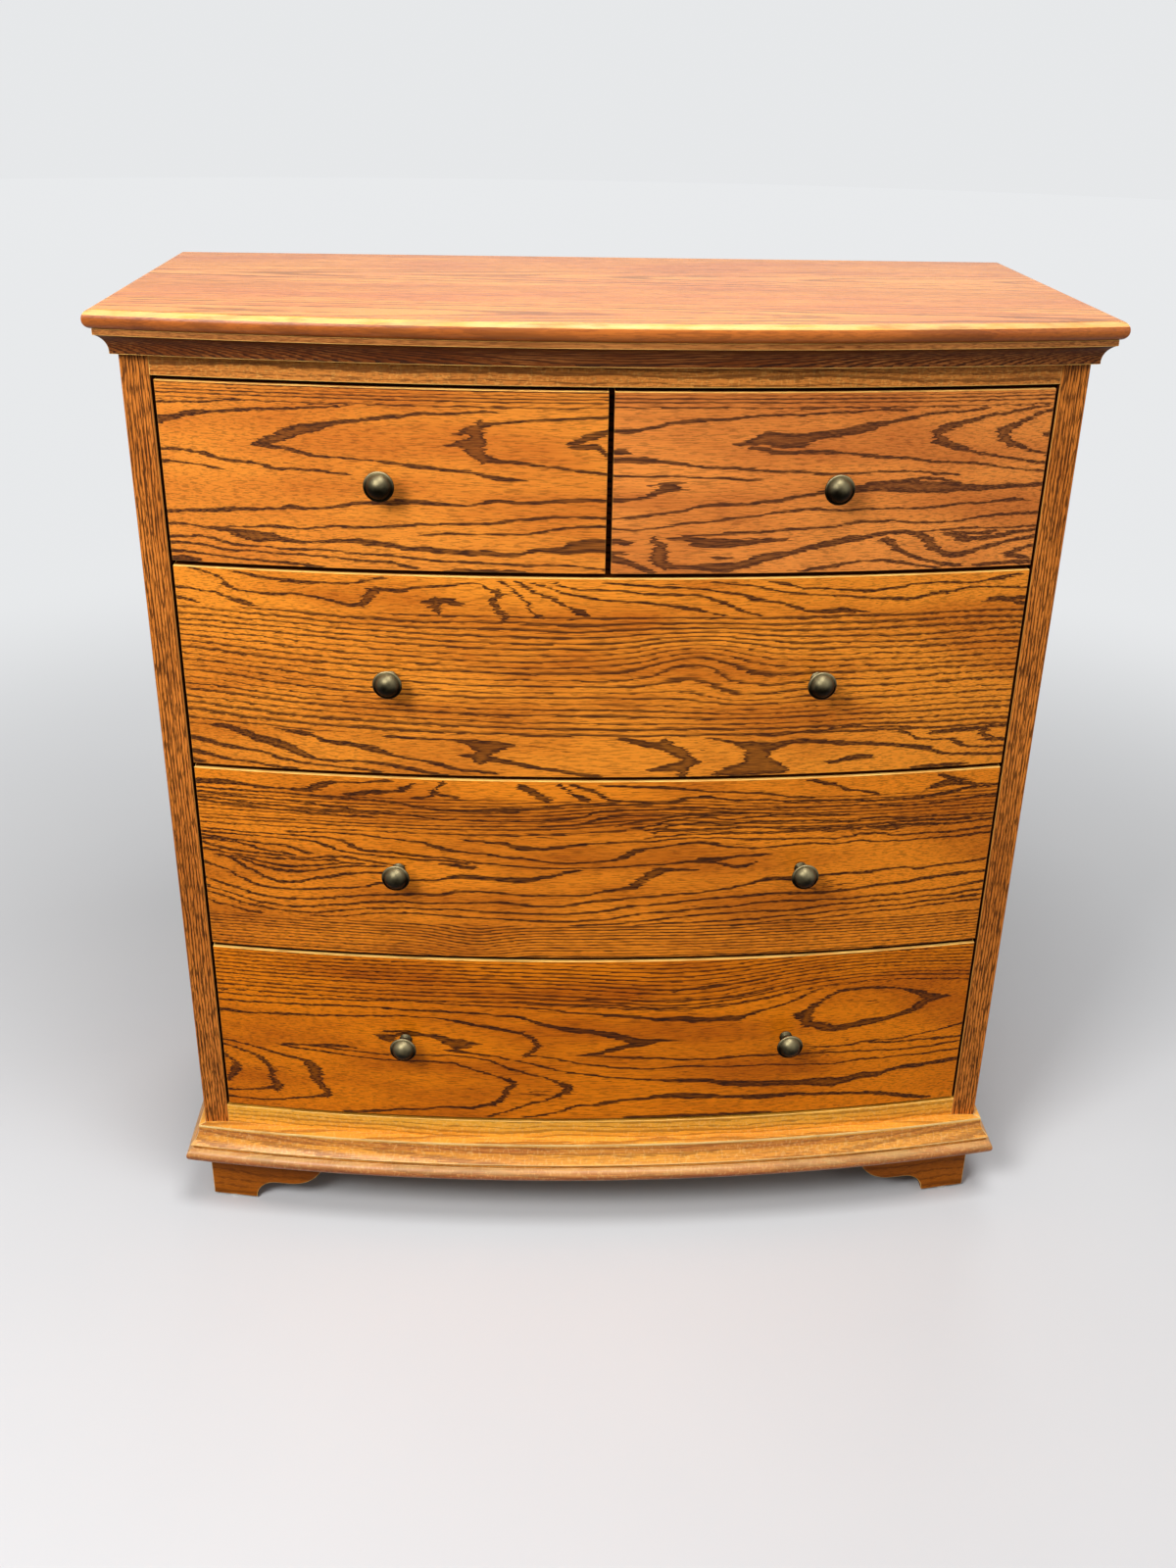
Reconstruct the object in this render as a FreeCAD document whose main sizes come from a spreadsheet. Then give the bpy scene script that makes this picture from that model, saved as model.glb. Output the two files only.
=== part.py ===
"""Bow front chest of drawers: two small drawers over three wide ones, on scrolled bracket feet.

Millimetres. X runs to the right, Y to the back and Z up. The origin is on the floor under the middle of the
chest. All the bowed surfaces are circles about one upright line far behind the chest, the bow axis, so they
stay parallel. Plan positions are measured from the front plane of the stiles, and heights from the floor.
"""
import FreeCAD
import Part
import Sketcher
import math
import os

DRIVING = {
    # Carcass
    "case_width": 950,
    "case_depth": 415,
    "side_thickness": 22,
    "stile_width": 28,
    "frame_thickness": 20,
    "bow_radius": 2620,
    "back_thickness": 8,
    "base_thickness": 12,
    "base_inset": 20,
    "top_rail_show": 21,
    "bottom_rail_show": 24,
    # Top board
    "top_thickness": 18,
    "top_overhang": 25,
    "back_lip": 7,
    "nosing_radius": 8.6,
    # Both mouldings: how far their line stands in front of the stiles at the corner
    "front_lip": 2,
    # Cornice
    "cornice_height": 25,
    "cornice_foot": 6.5,
    "cornice_projection": 18,
    "cornice_step": 1,
    "cornice_fillet": 6,
    "cornice_cove_radius": 18.6,
    # Plinth
    "plinth_height": 45.5,
    "plinth_projection": 23,
    "bead_radius": 8,
    "quirk_height": 5,
    "nib_projection": 17,
    "nib_height": 1.5,
    "ledge_projection": 7,
    "ledge_lip": 1,
    "plinth_cove_radius": 26,
    # Feet
    "foot_height": 69.5,
    "foot_thickness": 20,
    "foot_flat": 55,
    "scroll_rise": 25,
    "scroll_step": 19,
    "glide_height": 3,
    "glide_diameter": 18,
    "glide_inset": 27,
    # Drawers
    "drawer_gap": 3,
    "centre_gap": 5,
    "small_drawer_height": 184,
    "large_drawer_height": 225,
    "front_thickness": 20,
    "stop_gap": 0.5,
    "board_thickness": 13,
    "bottom_thickness": 6,
    "bottom_inset": 10,
    "groove_depth": 6,
    "box_lift": 7.5,
    "box_relief": 14,
    "box_inset": 1,
    "box_play": 1,
    "rear_gap": 12,
    # Web frame that carries the drawers
    "web_thickness": 18,
    "web_depth": 70,
    "run_gap": 0.3,
    "runner_margin": 2,
    "guide_height": 22,
    "centre_runner_width": 60,
    "partition_thickness": 18,
    # Knobs and their screws
    "knob_offset": 224,
    "knob_diameter": 30,
    "knob_length": 31,
    "knob_rim_height": 21,
    "knob_neck_diameter": 10.5,
    "knob_neck_height": 15,
    "knob_cove_radius": 9,
    "knob_collar_diameter": 19,
    "knob_collar_height": 2.5,
    "knob_step_diameter": 15,
    "knob_step_height": 4.5,
    "knob_bore": 4.2,
    "knob_bore_depth": 12,
    "screw_diameter": 4,
    "screw_head_diameter": 8,
    "screw_head_height": 2.5,
    "screw_end_gap": 1,
    "screw_hole": 4.6,
}

LARGE_ROWS = ("lower", "middle", "upper")

doc = FreeCAD.newDocument("bow_front_chest")
sheet = doc.addObject("Spreadsheet::Sheet", "Dims")
for row, (alias, value) in enumerate(DRIVING.items(), start=1):
    sheet.set(f"A{row}", alias)
    sheet.set(f"B{row}", str(value))
    sheet.setAlias(f"B{row}", alias)
doc.recompute()

# Plan positions worked out from the driving sizes
HALF_CASE = "(Dims.case_width / 2)"
HALF_OPENING = "(Dims.case_width / 2 - Dims.stile_width)"
HALF_INSIDE = "(Dims.case_width / 2 - Dims.side_thickness)"
BOW_AXIS = f"sqrt(Dims.bow_radius ^ 2 - {HALF_OPENING} ^ 2)"
MOULDING_RADIUS = f"sqrt({HALF_CASE} ^ 2 + ({BOW_AXIS} + Dims.front_lip) ^ 2)"
FRONT_TIP = f"({MOULDING_RADIUS} + Dims.top_overhang - {BOW_AXIS})"
CASE_FRONT = f"(({FRONT_TIP} - Dims.case_depth - Dims.back_lip) / 2)"
BACK_FACE = "(Dims.case_depth - Dims.back_thickness)"
BOX_REAR = f"({BACK_FACE} - Dims.rear_gap)"
HALF_FRONT = f"({HALF_OPENING} - Dims.drawer_gap)"
HALF_BOX = f"({HALF_FRONT} - Dims.box_inset)"

# Heights worked out from the driving sizes
PLINTH_BASE = "(Dims.glide_height + Dims.foot_height)"
PLINTH_TOP = f"({PLINTH_BASE} + Dims.plinth_height)"
OPENING_BASE = f"({PLINTH_TOP} + Dims.bottom_rail_show)"
ROW_PITCH = "(Dims.large_drawer_height + Dims.drawer_gap)"
ROW_BASE = [f"({OPENING_BASE} + Dims.drawer_gap + {row} * {ROW_PITCH})" for row in range(4)]
OPENING_TOP = f"({ROW_BASE[3]} + Dims.small_drawer_height + Dims.drawer_gap)"
CORNICE_BASE = f"({OPENING_TOP} + Dims.top_rail_show)"
TOP_BASE = f"({CORNICE_BASE} + Dims.cornice_height)"
WEB_TOP = [f"({base} + Dims.box_lift - Dims.run_gap)" for base in ROW_BASE]

pieces = []


def number(expression):
    """Return the present value of an expression."""
    return float(sheet.evalExpression(expression))


def bow_y(x, radius):
    """Return where a circle about the bow axis crosses the line at x, from the stile fronts."""
    return f"({BOW_AXIS} - sqrt(({radius}) ^ 2 - ({x}) ^ 2))"


def offset_radius(offset):
    """Return the radius of the circle that lies offset in front of the drawer faces."""
    return f"(Dims.bow_radius + {offset})"


def keep(piece, label):
    """Give a finished sub-part its label and put it on the list of pieces."""
    piece.Label = label
    pieces.append(piece)
    return piece


def place(piece, x="0", y="0", z="0"):
    """Tie a sub-part's place to the sheet, with y from the stile fronts."""
    piece.setExpression("Placement.Base.x", x)
    piece.setExpression("Placement.Base.y", f"{CASE_FRONT} + {y}")
    piece.setExpression("Placement.Base.z", z)
    return piece


def board(name, x, y, z, size_x, size_y, size_z):
    """Add a rectangular board from its low corner and its three sizes."""
    box = doc.addObject("Part::Box", name)
    box.setExpression("Length", size_x)
    box.setExpression("Width", size_y)
    box.setExpression("Height", size_z)
    return place(box, x, y, z)


def plane_sketch(body, role):
    """Add a sketch on one of a body's own origin planes."""
    sketch = body.newObject("Sketcher::SketchObject", f"{body.Name}_sketch")
    plane = next(item for item in body.Origin.OriginFeatures if item.Role == role)
    sketch.AttachmentSupport = [(plane, "")]
    sketch.MapMode = "FlatFace"
    return sketch


def arc_between(start, end, radius, turn):
    """Return the arc from start to end; turn is 1 with its centre on the left, -1 on the right."""
    chord = end - start
    rise = math.sqrt(max(radius ** 2 - (chord.Length / 2) ** 2, 0))
    left = FreeCAD.Vector(-chord.y, chord.x, 0).normalize()
    centre = (start + end) * 0.5 + left * (turn * rise)
    first, last = (start, end) if turn > 0 else (end, start)
    angles = [math.atan2(point.y - centre.y, point.x - centre.x) for point in (first, last)]
    return Part.ArcOfCircle(Part.Circle(centre, FreeCAD.Vector(0, 0, 1), radius), *angles)


def draw(sketch, corners):
    """Draw a closed outline whose corners and arcs are tied to the sheet.

    A corner is (x, y, arc), where arc is None for a straight run to the next corner, or its radius and turn.
    """
    points = [FreeCAD.Vector(number(x), number(y), 0) for x, y, _ in corners]
    first_ends = []
    last_ends = []
    for index, (_, _, arc) in enumerate(corners):
        start = points[index]
        end = points[(index + 1) % len(points)]
        if arc is None:
            edge = sketch.addGeometry(Part.LineSegment(start, end))
            turn = 1
        else:
            radius, turn = arc
            edge = sketch.addGeometry(arc_between(start, end, number(radius), turn))
            bend = sketch.addConstraint(Sketcher.Constraint("Radius", edge, number(radius)))
            sketch.setExpression(f"Constraints[{bend}]", radius)
        first_ends.append((edge, 1 if turn > 0 else 2))
        last_ends.append((edge, 2 if turn > 0 else 1))
    for index, (x, y, _) in enumerate(corners):
        sketch.addConstraint(Sketcher.Constraint("Coincident", *last_ends[index - 1], *first_ends[index]))
        for direction, expression in (("DistanceX", x), ("DistanceY", y)):
            distance = Sketcher.Constraint(direction, -1, 1, *first_ends[index], number(expression))
            tie = sketch.addConstraint(distance)
            sketch.setExpression(f"Constraints[{tie}]", expression)


def new_body(name):
    """Add an empty body."""
    return doc.addObject("PartDesign::Body", name)


def pad(body, role, corners, length, symmetric=False):
    """Pad an outline drawn on an origin plane."""
    sketch = plane_sketch(body, role)
    draw(sketch, corners)
    feature = body.newObject("PartDesign::Pad", f"{body.Name}_pad")
    feature.Profile = sketch
    feature.Midplane = symmetric
    feature.setExpression("Length", length)
    return feature


def pocket(body, role, outlines):
    """Cut outlines drawn on an origin plane through the whole body, both ways."""
    doc.recompute()
    volume = body.Shape.Volume
    sketch = plane_sketch(body, role)
    for corners in outlines:
        draw(sketch, corners)
    feature = body.newObject("PartDesign::Pocket", f"{body.Name}_pocket")
    feature.Profile = sketch
    feature.Type = "ThroughAll"
    feature.Midplane = True
    doc.recompute()
    if body.Shape.Volume >= volume:
        raise RuntimeError(f"{body.Name}: the pocket cut nothing")
    return feature


def plan_board(name, corners, z, height):
    """Add a board of the given plan outline, raised to z."""
    body = new_body(name)
    pad(body, "XY_Plane", corners, height)
    return place(body, z=z)


def bowed_strip(name, low_x, high_x, offset, thickness, z, height):
    """Add a bowed board of even thickness, with its face at offset and its ends at low_x and high_x."""
    outer = offset_radius(offset)
    inner = f"({outer} - {thickness})"
    corners = [
        (low_x, bow_y(low_x, outer), (outer, 1)),
        (high_x, bow_y(high_x, outer), None),
        (high_x, bow_y(high_x, inner), (inner, -1)),
        (low_x, bow_y(low_x, inner), None),
    ]
    return plan_board(name, corners, z, height)


def bowed_shelf(name, low_x, high_x, offset, back, z, height):
    """Add a flat board with a bowed front edge at offset and a straight back edge."""
    outer = offset_radius(offset)
    corners = [
        (low_x, bow_y(low_x, outer), (outer, 1)),
        (high_x, bow_y(high_x, outer), None),
        (high_x, back, None),
        (low_x, back, None),
    ]
    return plan_board(name, corners, z, height)


def grouped(name, members):
    """Join separate solids into one group."""
    group = doc.addObject("Part::Compound", name)
    group.Links = members
    return group


def mirrored_x(corners, side):
    """Return an outline as it is for side 1, or mirrored left to right for side -1."""
    if side > 0:
        return corners
    return [(f"-({x})", y, arc and (arc[0], -arc[1])) for x, y, arc in corners]


def cornice_profile(back):
    """Return the cornice section as projection and height, from its back at the bottom."""
    cove_end = "(Dims.cornice_height - Dims.cornice_fillet)"
    return [
        (back, "0", None),
        ("Dims.cornice_foot", "0", ("Dims.cornice_cove_radius", -1)),
        ("(Dims.cornice_projection - Dims.cornice_step)", cove_end, None),
        ("Dims.cornice_projection", cove_end, None),
        ("Dims.cornice_projection", "Dims.cornice_height", None),
        (back, "Dims.cornice_height", None),
    ]


def plinth_profile(back):
    """Return the plinth section as projection and height, from its back at the bottom."""
    bead_root = "(Dims.plinth_projection - Dims.bead_radius)"
    quirk_top = "(2 * Dims.bead_radius + Dims.quirk_height)"
    return [
        (back, "0", None),
        (bead_root, "0", ("Dims.bead_radius", 1)),
        ("Dims.plinth_projection", "Dims.bead_radius", ("Dims.bead_radius", 1)),
        (bead_root, "(2 * Dims.bead_radius)", None),
        (bead_root, quirk_top, None),
        ("Dims.nib_projection", quirk_top, None),
        ("Dims.nib_projection", f"({quirk_top} + Dims.nib_height)", ("Dims.plinth_cove_radius", -1)),
        ("Dims.ledge_projection", "(Dims.plinth_height - Dims.ledge_lip)", None),
        ("Dims.ledge_projection", "Dims.plinth_height", None),
        (back, "Dims.plinth_height", None),
    ]


def mitre_outline(projection, front_piece):
    """Return the plan outline, on the right, of what a mitred moulding leaves to its neighbour.

    The mitre runs from the carcass corner to where the two pieces' edges meet. The front piece is also cut
    round the stile, which is flat while the rails are bowed.
    """
    reach = f"(2 * {projection})"
    tip_x = f"({HALF_CASE} + {reach})"
    root = (HALF_CASE, "-Dims.front_lip", None)
    tip = (tip_x, bow_y(tip_x, f"({MOULDING_RADIUS} + {reach})"), None)
    if front_piece:
        return [
            (HALF_OPENING, "0", None),
            (HALF_CASE, "0", None),
            root,
            tip,
            (tip_x, "Dims.case_depth", None),
            (HALF_OPENING, "Dims.case_depth", None),
        ]
    far = "-(2 * Dims.case_depth)"
    return [root, (HALF_CASE, far, None), (tip_x, far, None), tip]


def front_moulding(name, profile, projection, z):
    """Add the bowed front piece of a moulding: its section turned about the bow axis, then mitred."""
    body = new_body(name)
    sketch = plane_sketch(body, "YZ_Plane")
    section = profile(f"(Dims.bow_radius - {MOULDING_RADIUS})")
    line = f"({BOW_AXIS} - {MOULDING_RADIUS})"
    draw(sketch, [(f"({line} - {out})", up, arc and (arc[0], -arc[1])) for out, up, arc in section])
    axis = sketch.addGeometry(Part.LineSegment(
        FreeCAD.Vector(number(BOW_AXIS), 0, 0), FreeCAD.Vector(number(BOW_AXIS), 1, 0)), True)
    sketch.addConstraint(Sketcher.Constraint("Vertical", axis))
    sketch.addConstraint(Sketcher.Constraint("PointOnObject", axis, 1, -1))
    sketch.addConstraint(Sketcher.Constraint("DistanceY", axis, 1, axis, 2, 1))
    reach = sketch.addConstraint(Sketcher.Constraint("DistanceX", -1, 1, axis, 1, number(BOW_AXIS)))
    sketch.setExpression(f"Constraints[{reach}]", BOW_AXIS)
    turned = body.newObject("PartDesign::Revolution", f"{name}_turn")
    turned.Profile = sketch
    turned.ReferenceAxis = (sketch, ["Axis0"])
    turned.Midplane = True
    half_length = f"({HALF_CASE} + 1.5 * {projection})"
    turned.setExpression("Angle", f"2 * asin({half_length} / ({MOULDING_RADIUS} + {projection}))")
    outline = mitre_outline(projection, True)
    pocket(body, "XY_Plane", [outline, mirrored_x(outline, -1)])
    return keep(place(body, z=z), name)


def side_moulding(name, profile, projection, side, z):
    """Add one side piece of a moulding: its straight section run to the back, mitred at the front."""
    body = new_body(name)
    section = [(f"({HALF_CASE} + {out})", up, arc) for out, up, arc in profile("0")]
    pad(body, "XZ_Plane", mirrored_x(section, side), "2 * Dims.case_depth", symmetric=True)
    pocket(body, "XY_Plane", [mirrored_x(mitre_outline(projection, False), side)])
    return keep(place(body, z=z), name)


def moulding(name, profile, projection, z):
    """Add the three mitred pieces of a moulding."""
    front_moulding(f"{name}_front", profile, projection, z)
    side_moulding(f"{name}_left", profile, projection, -1, z)
    side_moulding(f"{name}_right", profile, projection, 1, z)


def top_board():
    """Add the top, with its nosing rounded along the front and both sides."""
    body = new_body("top_board")
    half = f"({HALF_CASE} + Dims.top_overhang)"
    radius = f"({MOULDING_RADIUS} + Dims.top_overhang)"
    back = "(Dims.case_depth + Dims.back_lip)"
    blank = pad(body, "XY_Plane", [
        (f"-{half}", bow_y(half, radius), (radius, 1)),
        (half, bow_y(half, radius), None),
        (half, back, None),
        (f"-{half}", back, None),
    ], "Dims.top_thickness")
    doc.recompute()
    rounded = []
    for index, edge in enumerate(blank.Shape.Edges, start=1):
        ends = [vertex.Point for vertex in edge.Vertexes]
        level = abs(ends[0].z - ends[1].z) < 1e-6
        at_back = all(abs(end.y - number(back)) < 1e-6 for end in ends)
        if level and not at_back:
            rounded.append(f"Edge{index}")
    nosing = body.newObject("PartDesign::Fillet", "top_board_nosing")
    nosing.Base = (blank, rounded)
    nosing.setExpression("Radius", "min(Dims.nosing_radius; 0.48 * Dims.top_thickness)")
    return keep(place(body, z=TOP_BASE), "top_board")


def case_boards():
    """Add the side panels, stiles, rails, back, base board and partition."""
    height = f"({TOP_BASE} - {PLINTH_BASE})"
    for side, x in (("left", f"-{HALF_CASE}"), ("right", HALF_INSIDE)):
        panel = board(f"side_panel_{side}", x, "Dims.frame_thickness", PLINTH_BASE,
                      "Dims.side_thickness", "(Dims.case_depth - Dims.frame_thickness)", height)
        keep(panel, f"side_panel_{side}")
    for side, x in (("left", f"-{HALF_CASE}"), ("right", HALF_OPENING)):
        stile = board(f"front_stile_{side}", x, "0", PLINTH_BASE,
                      "Dims.stile_width", "Dims.frame_thickness", height)
        keep(stile, f"front_stile_{side}")
    low = f"-{HALF_OPENING}"
    keep(bowed_strip("top_rail", low, HALF_OPENING, "0", "Dims.frame_thickness", OPENING_TOP,
                     "(Dims.top_rail_show + Dims.cornice_height)"), "top_rail")
    keep(bowed_strip("bottom_rail", low, HALF_OPENING, "0", "Dims.frame_thickness", PLINTH_BASE,
                     "(Dims.plinth_height + Dims.bottom_rail_show)"), "bottom_rail")
    keep(board("back_panel", f"-{HALF_INSIDE}", BACK_FACE, PLINTH_BASE,
               f"(2 * {HALF_INSIDE})", "Dims.back_thickness", height), "back_panel")
    keep(bowed_shelf("base_board", f"-{HALF_INSIDE}", HALF_INSIDE, "-Dims.frame_thickness", BACK_FACE,
                     f"({PLINTH_BASE} + Dims.base_inset)", "Dims.base_thickness"), "base_board")
    front = f"({BOW_AXIS} - Dims.bow_radius + Dims.front_thickness + Dims.stop_gap)"
    keep(board("centre_partition", "-Dims.partition_thickness / 2", front, WEB_TOP[3],
               "Dims.partition_thickness", f"({BACK_FACE} - {front})",
               f"({TOP_BASE} - {WEB_TOP[3]})"), "centre_partition")


def runner(name, side, web_top):
    """Add a rebated runner: a shelf under the drawer side and a guide beside it."""
    body = new_body(name)
    shelf_edge = f"({HALF_BOX} - Dims.board_thickness - Dims.runner_margin)"
    guide_face = f"({HALF_BOX} + Dims.box_play)"
    corners = [
        (shelf_edge, "-Dims.web_thickness", None),
        (HALF_INSIDE, "-Dims.web_thickness", None),
        (HALF_INSIDE, "Dims.guide_height", None),
        (guide_face, "Dims.guide_height", None),
        (guide_face, "0", None),
        (shelf_edge, "0", None),
    ]
    pad(body, "XZ_Plane", mirrored_x(corners, side), f"({BACK_FACE} - Dims.web_depth)")
    return place(body, y=BACK_FACE, z=web_top)


def web_frame():
    """Add the drawer rails and the runners that carry the drawers."""
    behind_front = "-(Dims.front_thickness + Dims.stop_gap)"
    for row, web_top in zip(LARGE_ROWS, WEB_TOP[1:]):
        rail = bowed_shelf(f"drawer_rail_{row}", f"-{HALF_OPENING}", HALF_OPENING, behind_front,
                           "Dims.web_depth", f"({web_top} - Dims.web_thickness)", "Dims.web_thickness")
        keep(rail, f"drawer_rail_{row}")
    runners = []
    for level, web_top in enumerate(WEB_TOP):
        runners.append(runner(f"runner_{level}_left", -1, web_top))
        runners.append(runner(f"runner_{level}_right", 1, web_top))
    runners.append(board("runner_centre", "-Dims.centre_runner_width / 2", "Dims.web_depth",
                         f"({WEB_TOP[3]} - Dims.web_thickness)", "Dims.centre_runner_width",
                         f"({BACK_FACE} - Dims.web_depth)", "Dims.web_thickness"))
    keep(grouped("drawer_runners", runners), "drawer_runners")


def scroll(start):
    """Return the outline of what is sawn from a foot bracket, as distance from its corner and height.

    The bracket is level for a stretch, then rises in a hollow quarter, runs level and ends in a round belly.
    """
    hollow_end = "(Dims.foot_flat + Dims.scroll_rise)"
    belly_start = f"({hollow_end} + Dims.scroll_step)"
    belly = "(Dims.foot_height - Dims.scroll_rise)"
    end = f"({belly_start} + {belly})"
    clear = f"({end} + 2 * Dims.foot_thickness)"
    above = "(2 * Dims.foot_height)"
    corners = [
        ("Dims.foot_flat", "-Dims.foot_height", None),
        ("Dims.foot_flat", "0", ("Dims.scroll_rise", -1)),
        (hollow_end, "Dims.scroll_rise", None),
        (belly_start, "Dims.scroll_rise", (belly, 1)),
        (end, "Dims.foot_height", None),
        (end, above, None),
        (clear, above, None),
        (clear, "-Dims.foot_height", None),
    ]
    return [(f"({start} - {out})", up, arc and (arc[0], -arc[1])) for out, up, arc in corners]


def foot(name, side, at_front):
    """Add a bracket foot: two boards meeting at the corner of the chest, each with a scrolled end."""
    body = new_body(name)
    reach = "(Dims.foot_flat + Dims.scroll_step + Dims.foot_height + Dims.foot_thickness)"
    end_x = f"({HALF_CASE} - {reach})"
    inner_x = f"({HALF_CASE} - Dims.foot_thickness)"
    if at_front:
        inner_radius = offset_radius("-Dims.foot_thickness")
        corners = [
            (end_x, bow_y(end_x, "Dims.bow_radius"), ("Dims.bow_radius", 1)),
            (HALF_CASE, bow_y(HALF_CASE, "Dims.bow_radius"), None),
            (HALF_CASE, reach, None),
            (inner_x, reach, None),
            (inner_x, bow_y(inner_x, inner_radius), (inner_radius, -1)),
            (end_x, bow_y(end_x, inner_radius), None),
        ]
        along_side = [(f"-({x})", z, arc and (arc[0], -arc[1])) for x, z, arc in scroll("0")]
    else:
        inner_y = "(Dims.case_depth - Dims.foot_thickness)"
        end_y = f"(Dims.case_depth - {reach})"
        corners = [
            (end_x, inner_y, None),
            (inner_x, inner_y, None),
            (inner_x, end_y, None),
            (HALF_CASE, end_y, None),
            (HALF_CASE, "Dims.case_depth", None),
            (end_x, "Dims.case_depth", None),
        ]
        along_side = scroll("Dims.case_depth")
    pad(body, "XY_Plane", mirrored_x(corners, side), "Dims.foot_height")
    pocket(body, "XZ_Plane", [mirrored_x(scroll(HALF_CASE), side)])
    pocket(body, "YZ_Plane", [along_side])
    return keep(place(body, z="Dims.glide_height"), name)


def feet():
    """Add the four bracket feet and the glides under them."""
    glides = []
    front_x = f"({HALF_CASE} - Dims.glide_inset)"
    rear_x = f"({HALF_CASE} - Dims.foot_thickness / 2)"
    spots = {
        "front": (front_x, bow_y(front_x, offset_radius("-Dims.foot_thickness / 2"))),
        "rear": (rear_x, "(Dims.case_depth - Dims.glide_inset)"),
    }
    for end, (x, y) in spots.items():
        for side, sign in (("left", -1), ("right", 1)):
            foot(f"foot_{end}_{side}", sign, end == "front")
            glide = doc.addObject("Part::Cylinder", f"glide_{end}_{side}")
            glide.setExpression("Radius", "Dims.glide_diameter / 2")
            glide.setExpression("Height", "Dims.glide_height")
            glides.append(place(glide, f"{sign} * {x}", y))
    keep(grouped("foot_glides", glides), "foot_glides")


def turned(name, corners, x, z):
    """Add a piece turned about its own Y axis, set square to the drawer face at x and z."""
    body = new_body(name)
    sketch = plane_sketch(body, "XY_Plane")
    draw(sketch, corners)
    feature = body.newObject("PartDesign::Revolution", f"{name}_turn")
    feature.Profile = sketch
    feature.ReferenceAxis = (sketch, ["V_Axis"])
    feature.Angle = 360
    place(body, x, bow_y(x, "Dims.bow_radius"), z)
    body.setExpression("Placement.Rotation.Angle", f"asin(({x}) / Dims.bow_radius)")
    return body


def knob(name, x, z):
    """Add a mushroom knob on a stepped collar, bored for its screw."""
    bore = "Dims.knob_bore / 2"
    collar = "Dims.knob_collar_diameter / 2"
    step = "Dims.knob_step_diameter / 2"
    neck = "Dims.knob_neck_diameter / 2"
    head = "Dims.knob_diameter / 2"
    rise = "(Dims.knob_length - Dims.knob_rim_height)"
    dome = f"(({head}) ^ 2 + {rise} ^ 2) / (2 * {rise})"
    return turned(name, [
        (bore, "0", None),
        (collar, "0", None),
        (collar, "-Dims.knob_collar_height", None),
        (step, "-Dims.knob_collar_height", None),
        (step, "-Dims.knob_step_height", None),
        (neck, "-Dims.knob_step_height", None),
        (neck, "-Dims.knob_neck_height", ("Dims.knob_cove_radius", 1)),
        (head, "-Dims.knob_rim_height", (dome, -1)),
        ("0", "-Dims.knob_length", None),
        ("0", "-Dims.knob_bore_depth", None),
        (bore, "-Dims.knob_bore_depth", None),
    ], x, z)


def knob_screw(name, x, z):
    """Add the screw that holds a knob from inside the drawer."""
    shank = "Dims.screw_diameter / 2"
    head = "Dims.screw_head_diameter / 2"
    tip = "-(Dims.knob_bore_depth - Dims.screw_end_gap)"
    head_top = "(Dims.front_thickness + Dims.screw_head_height)"
    return turned(name, [
        ("0", tip, None),
        (shank, tip, None),
        (shank, "Dims.front_thickness", None),
        (head, "Dims.front_thickness", None),
        (head, head_top, None),
        ("0", head_top, None),
    ], x, z)


def screw_hole(name, x, z):
    """Add the shape of the hole through a drawer front for a knob screw."""
    wall = "Dims.screw_hole / 2"
    outside = "-Dims.knob_collar_height"
    inside = "(Dims.front_thickness + Dims.screw_head_height)"
    return turned(name, [
        ("0", outside, None),
        (wall, outside, None),
        (wall, inside, None),
        ("0", inside, None),
    ], x, z)


def cut(label, blank, tools):
    """Cut the shapes of the tools out of a blank."""
    feature = doc.addObject("Part::Cut", label)
    feature.Base = blank
    feature.Tool = grouped(f"{label}_cuts", tools)
    return keep(feature, label)


def drawer(name, ends, box, base, height, knob_places):
    """Add one drawer: a bowed front, two sides, a back, a bottom in grooves, and its knobs.

    ends and box are the low and high X of the front and of the box behind it.
    """
    box_low, box_high = box
    inner_low = f"({box_low} + Dims.board_thickness)"
    inner_high = f"({box_high} - Dims.board_thickness)"
    box_base = f"({base} + Dims.box_lift)"
    box_height = f"({height} - Dims.box_lift - Dims.box_relief)"
    panel_base = f"({box_base} + Dims.bottom_inset)"
    panel = bowed_shelf(f"{name}_bottom", f"({inner_low} - Dims.groove_depth)",
                        f"({inner_high} + Dims.groove_depth)",
                        "(Dims.groove_depth - Dims.front_thickness)", BOX_REAR, panel_base,
                        "Dims.bottom_thickness")
    keep(panel, f"{name}_bottom")
    middle = f"({base} + {height} / 2)"
    holes = [screw_hole(f"{name}_hole_{index}", x, middle) for index, x in enumerate(knob_places)]
    blank = bowed_strip(f"{name}_front_blank", *ends, "0", "Dims.front_thickness", base, height)
    cut(f"{name}_front", blank, [panel] + holes)
    for side, low, high in (("left", box_low, inner_low), ("right", inner_high, box_high)):
        side_blank = bowed_shelf(f"{name}_side_{side}_blank", low, high, "-Dims.front_thickness",
                                 BOX_REAR, box_base, box_height)
        cut(f"{name}_side_{side}", side_blank, [panel])
    back_base = f"({panel_base} + Dims.bottom_thickness)"
    keep(board(f"{name}_back", inner_low, f"({BOX_REAR} - Dims.board_thickness)", back_base,
               f"({inner_high} - {inner_low})", "Dims.board_thickness",
               f"({box_base} + {box_height} - {back_base})"), f"{name}_back")
    knobs = [knob(f"{name}_knob_{index}", x, middle) for index, x in enumerate(knob_places)]
    keep(grouped(f"{name}_knobs", knobs), f"{name}_knobs")
    screws = [knob_screw(f"{name}_screw_{index}", x, middle) for index, x in enumerate(knob_places)]
    keep(grouped(f"{name}_knob_screws", screws), f"{name}_knob_screws")


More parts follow.
